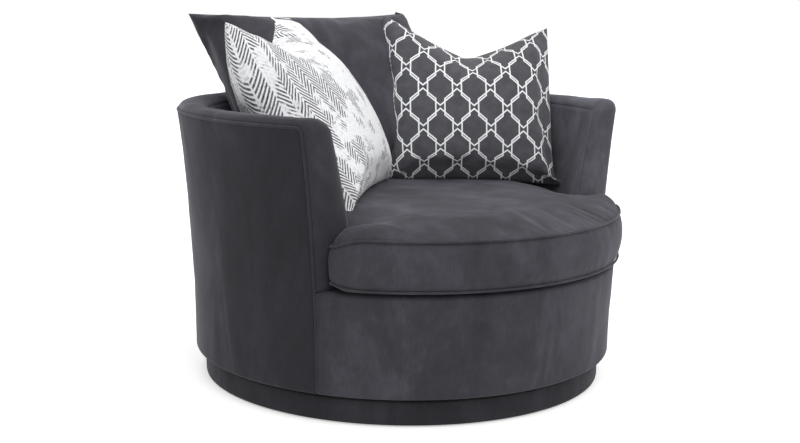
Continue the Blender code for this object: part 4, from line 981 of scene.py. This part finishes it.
def pillow_mesh(name, size, chop, bend, cells, fullness, drawn_in, pulls, twist=0.0):
    """A knife-edge pillow in its own plane, front towards +Z, with a map of its flat cloth.

    The left side, the right side and the ends are drawn in by a share, the corners are pulled
    about, and the twist brings the right side forward and sends the left side back.
    """
    width, height, thickness = size

    def across(number):
        """A grid line's place from -1 to 1, closer together at the edges."""
        return math.sin((2 * number / cells - 1) * math.pi / 2)

    def dent_at(u, v):
        """How deep the chop is, from 0 to 1."""
        valley = max(0.0, 1 - math.hypot(u, CHOP_ROUND)) ** 1.15
        return valley * max(0.0, (v + CHOP_DEEP) / (1 + CHOP_DEEP)) ** 2

    def flat_cloth(i, j):
        """A point's place on the flat cloth: more of it lies near the edges than shows."""
        u = across(i)
        v = across(j)
        x = (1 - CLOTH_SLACK) * u + CLOTH_SLACK * (2 * i / cells - 1)
        y = (1 - CLOTH_SLACK) * v + CLOTH_SLACK * (2 * j / cells - 1)
        return (width * 0.53 * x, height * 0.53 * y - chop * dent_at(u, v))

    def place_of(i, j, side):
        """A point's place, on the front, which is side 1, or on the back, which is side -1."""
        u = across(i)
        v = across(j)
        dent = dent_at(u, v)
        fall = max(0.0, (1 - abs(u) ** FALL_POWER) * (1 - abs(v) ** FALL_POWER))
        full = fall ** fullness * (1 - CHOP_THINNING * chop * dent)
        drawn = drawn_in[0] if u < 0 else drawn_in[1]
        x = width / 2 * u * (1 - drawn * (1 - v * v) * u * u)
        y = height / 2 * v * (1 - drawn_in[2] * (1 - u * u) * v * v) - chop * dent
        z = side * thickness / 2 * full + bend * u * u - CHOP_SET_BACK * chop * dent
        z += twist * u * (1 - v * v) * (1.0 if u < 0 else 0.5)
        gathered = (1 - fall) ** 2 * min(1.0, 4 * fall)
        z += gathered * ripple((x, y, side), 0.020, 0.0060, thickness * 31)
        z += fall * ripple((x, y, side), 0.13, 0.0060, thickness * 17)
        for right, top, power, pull in pulls:
            share = ((1 + right * u) * (1 + top * v) / 4) ** power
            x += share * pull[0]
            y += share * pull[1]
            z += share * pull[2]
        return x, y, z

    def key_of(i, j, side):
        """What a point is known by. The front and the back share the points of the edge."""
        return i, j, 0 if i in (0, cells) or j in (0, cells) else side

    points = []
    index = {}
    faces = []
    maps = []
    for side in (1, -1):
        for j in range(cells + 1):
            for i in range(cells + 1):
                key = key_of(i, j, side)
                if key not in index:
                    index[key] = len(points)
                    points.append(place_of(i, j, side))
        for j in range(cells):
            for i in range(cells):
                corners = ((i, j), (i + 1, j), (i + 1, j + 1), (i, j + 1))[::side]
                faces.append([index[key_of(a, b, side)] for a, b in corners])
                maps += [flat_cloth(a, b) for a, b in corners]
    mesh = bpy.data.meshes.new(name)
    mesh.from_pydata(points, [], faces)
    layer = mesh.uv_layers.new(name="cloth")
    layer.data.foreach_set("uv", [c for pair in maps for c in pair])
    mesh.update()
    return mesh


def standing(place, low, turn, lean, height):
    """The matrix that stands a pillow on its lower edge, turned and leaning back."""
    turn = math.radians(turn)
    lean = math.radians(lean)
    flat_front = Vector((math.sin(turn), -math.cos(turn), 0.0))
    across = Vector((math.cos(turn), math.sin(turn), 0.0))
    up = flat_front * -math.sin(lean) + Vector((0.0, 0.0, math.cos(lean)))
    front = flat_front * math.cos(lean) + Vector((0.0, 0.0, math.sin(lean)))
    matrix = Matrix((across, up, front)).transposed().to_4x4()
    matrix.translation = Vector((*place, low)) + up * height / 2
    return matrix


def tree_of(obj):
    """The faces of a piece, in the chair's own space."""
    bpy.context.view_layer.update()
    evaluated = obj.evaluated_get(bpy.context.evaluated_depsgraph_get())
    verts = [v.co.copy() for v in evaluated.data.vertices]
    polygons = [tuple(p.vertices) for p in evaluated.data.polygons]
    return BVHTree.FromPolygons(verts, polygons)


def rest_on(obj, trees, gap=0.0006):
    """Flatten a piece where it would reach into what it lies against."""
    for vert in obj.data.vertices:
        place = vert.co.copy()
        for tree in trees:
            _, over, _, _ = tree.ray_cast(place, Vector((0.0, 0.0, 1.0)))
            if over is not None and over.z > 0:
                near, normal, _, _ = tree.find_nearest(place)
                place = near + normal * gap
        vert.co = place
    obj.data.update()


def make_pillow(name, stand, material, trees, cap, size, **form):
    """A pillow with its cloth settled, flattened on its neighbours."""
    start = 0.88
    mesh = pillow_mesh(name, (size[0], size[1], size[2] * start), **form)
    obj = make_object(name, mesh, material)
    inflate(obj, cap, 0.035)
    obj.data.transform(stand)
    rest_on(obj, trees)
    round_off(obj)
    return obj


back_place = (0.0, DECK_RADIUS - BACK_SETOFF)
seat_tree = tree_of(seat)
back = make_pillow("back_cushion_velvet",
                   standing(back_place, SEAT_TOP - BACK_DROP, 0.0, 30.0, BACK_HEIGHT), VELVET_BACK,
                   [seat_tree], 0.022, (BACK_WIDTH, BACK_HEIGHT, 0.262),
                   chop=0.0, bend=0.040, cells=56, fullness=0.52, drawn_in=(0.04, 0.04, 0.010),
                   pulls=[(-1, 1, 5, (-0.030, -0.002, 0.0)), (1, 1, 5, (-0.026, 0.004, 0.0))])
back_tree = tree_of(back)
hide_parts("back_cushion")
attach(back, "back")

white_place = (0.330 - DECK_RADIUS, back_place[1] - 0.211)
white = make_pillow("herringbone_pillow_cloth",
                    standing(white_place, SEAT_TOP - PILLOW_DROP, 42.0, 33.0, WHITE_SIDE), HERRINGBONE,
                    [seat_tree, back_tree], 0.016, (WHITE_SIDE, WHITE_SIDE, 0.192),
                    chop=0.075, bend=0.0, cells=52, fullness=0.46, drawn_in=(0.0, 0.02, 0.05),
                    pulls=[(1, 1, 3, (0.0, 0.006, -0.028)), (-1, 1, 3, (0.0, 0.004, -0.010))],
                    twist=0.055)
white_tree = tree_of(white)
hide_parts("herringbone_pillow")
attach(white, "white_pillow")

dark_place = (DECK_RADIUS - 0.200, back_place[1] - 0.175)
dark = make_pillow("trellis_pillow_cloth",
                   standing(dark_place, SEAT_TOP - PILLOW_DROP, -40.0, 22.0, DARK_STANDS), TRELLIS,
                   [seat_tree, back_tree, white_tree], 0.016, (DARK_SIDE, DARK_SIDE, 0.166),
                   chop=0.080, bend=0.0, cells=52, fullness=0.52, drawn_in=(-0.09, 0.0, 0.04),
                   pulls=[(-1, 1, 2, (-0.020, 0.016, 0.0)), (1, 1, 2, (-0.008, -0.016, 0.0)),
                          (1, -1, 10, (0.020, -0.004, 0.0))])
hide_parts("trellis_pillow")
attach(dark, "dark_pillow")


# Floor, light and camera

WHITE = (1.0, 1.0, 1.0, 1.0)
PITCH = math.radians(9.98)
ROLL = math.radians(-0.91)


def stage_finish():
    """A pale floor that the camera sees as white, with the chair's shadow on it."""
    n = material_nodes("pale_floor")
    cloud = n.noise(n.place(), 2.0, 2.0, 0.5)
    pale = n.ramp(cloud, (0.3, (0.86, 0.86, 0.87)), (0.7, (0.90, 0.90, 0.90)))
    return n.look({"Base Color": pale, "Roughness": 0.9, "Specular IOR Level": 0.1,
                   "Emission Color": WHITE, "Emission Strength": n.times(n.direct(), 0.42)})


def studio_world():
    """An even pale room, which the camera sees as plain white."""
    n = Nodes(bpy.data.worlds.new("studio"))
    n.tree.nodes.clear()
    soft = n.add("Background", {"Color": (0.97, 0.98, 1.0, 1.0), "Strength": 0.50})
    plain = n.add("Background", {"Color": WHITE, "Strength": 1.0})
    mixed = n.add("MixShader", {0: n.direct(), 1: soft.outputs[0], 2: plain.outputs[0]})
    n.add("OutputWorld", {"Surface": mixed.outputs[0]})
    return n.owner


floor_mesh = bpy.data.meshes.new("floor")
floor_bm = bmesh.new()
bmesh.ops.create_circle(floor_bm, cap_ends=True, segments=64, radius=30.0)
floor_bm.to_mesh(floor_mesh)
floor_bm.free()
floor = make_object("floor", floor_mesh, stage_finish(), smooth=False)
floor.location.z = -0.0005

bpy.context.scene.world = studio_world()

# Far studio lights, as soft as they are wide, that light the floor evenly too
for name, place, power, degrees in (("key", (0.0, -1.9, 2.6), 0.50, 60.0),
                                    ("top", (-0.2, -0.6, 3.0), 1.70, 90.0)):
    light = bpy.data.lights.new(name, "SUN")
    light.energy = power
    light.angle = math.radians(degrees)
    lamp = bpy.data.objects.new(name, light)
    bpy.context.scene.collection.objects.link(lamp)
    lamp.location = place
    lamp.rotation_euler = Vector(place).to_track_quat("Z", "Y").to_euler()

camera_data = bpy.data.cameras.new("camera")
camera_data.lens = 56.25
camera_data.sensor_width = 36.0
camera_data.clip_start = 0.05
camera_data.clip_end = 200.0
camera = bpy.data.objects.new("camera", camera_data)
bpy.context.scene.collection.objects.link(camera)
flat_way = Vector((0.6466, 0.7628, 0.0)).normalized()
way = flat_way * math.cos(PITCH) - Vector((0.0, 0.0, math.sin(PITCH)))
side = way.cross(Vector((0.0, 0.0, 1.0))).normalized()
up = side.cross(way)
turned_side = side * math.cos(ROLL) - up * math.sin(ROLL)
turned_up = up * math.cos(ROLL) + side * math.sin(ROLL)
camera.matrix_world = Matrix.Translation((-2.116, -2.481, 0.961)) @ Matrix(
    (turned_side, turned_up, -way)).transposed().to_4x4()
bpy.context.scene.camera = camera

bpy.context.scene.view_settings.view_transform = "Standard"
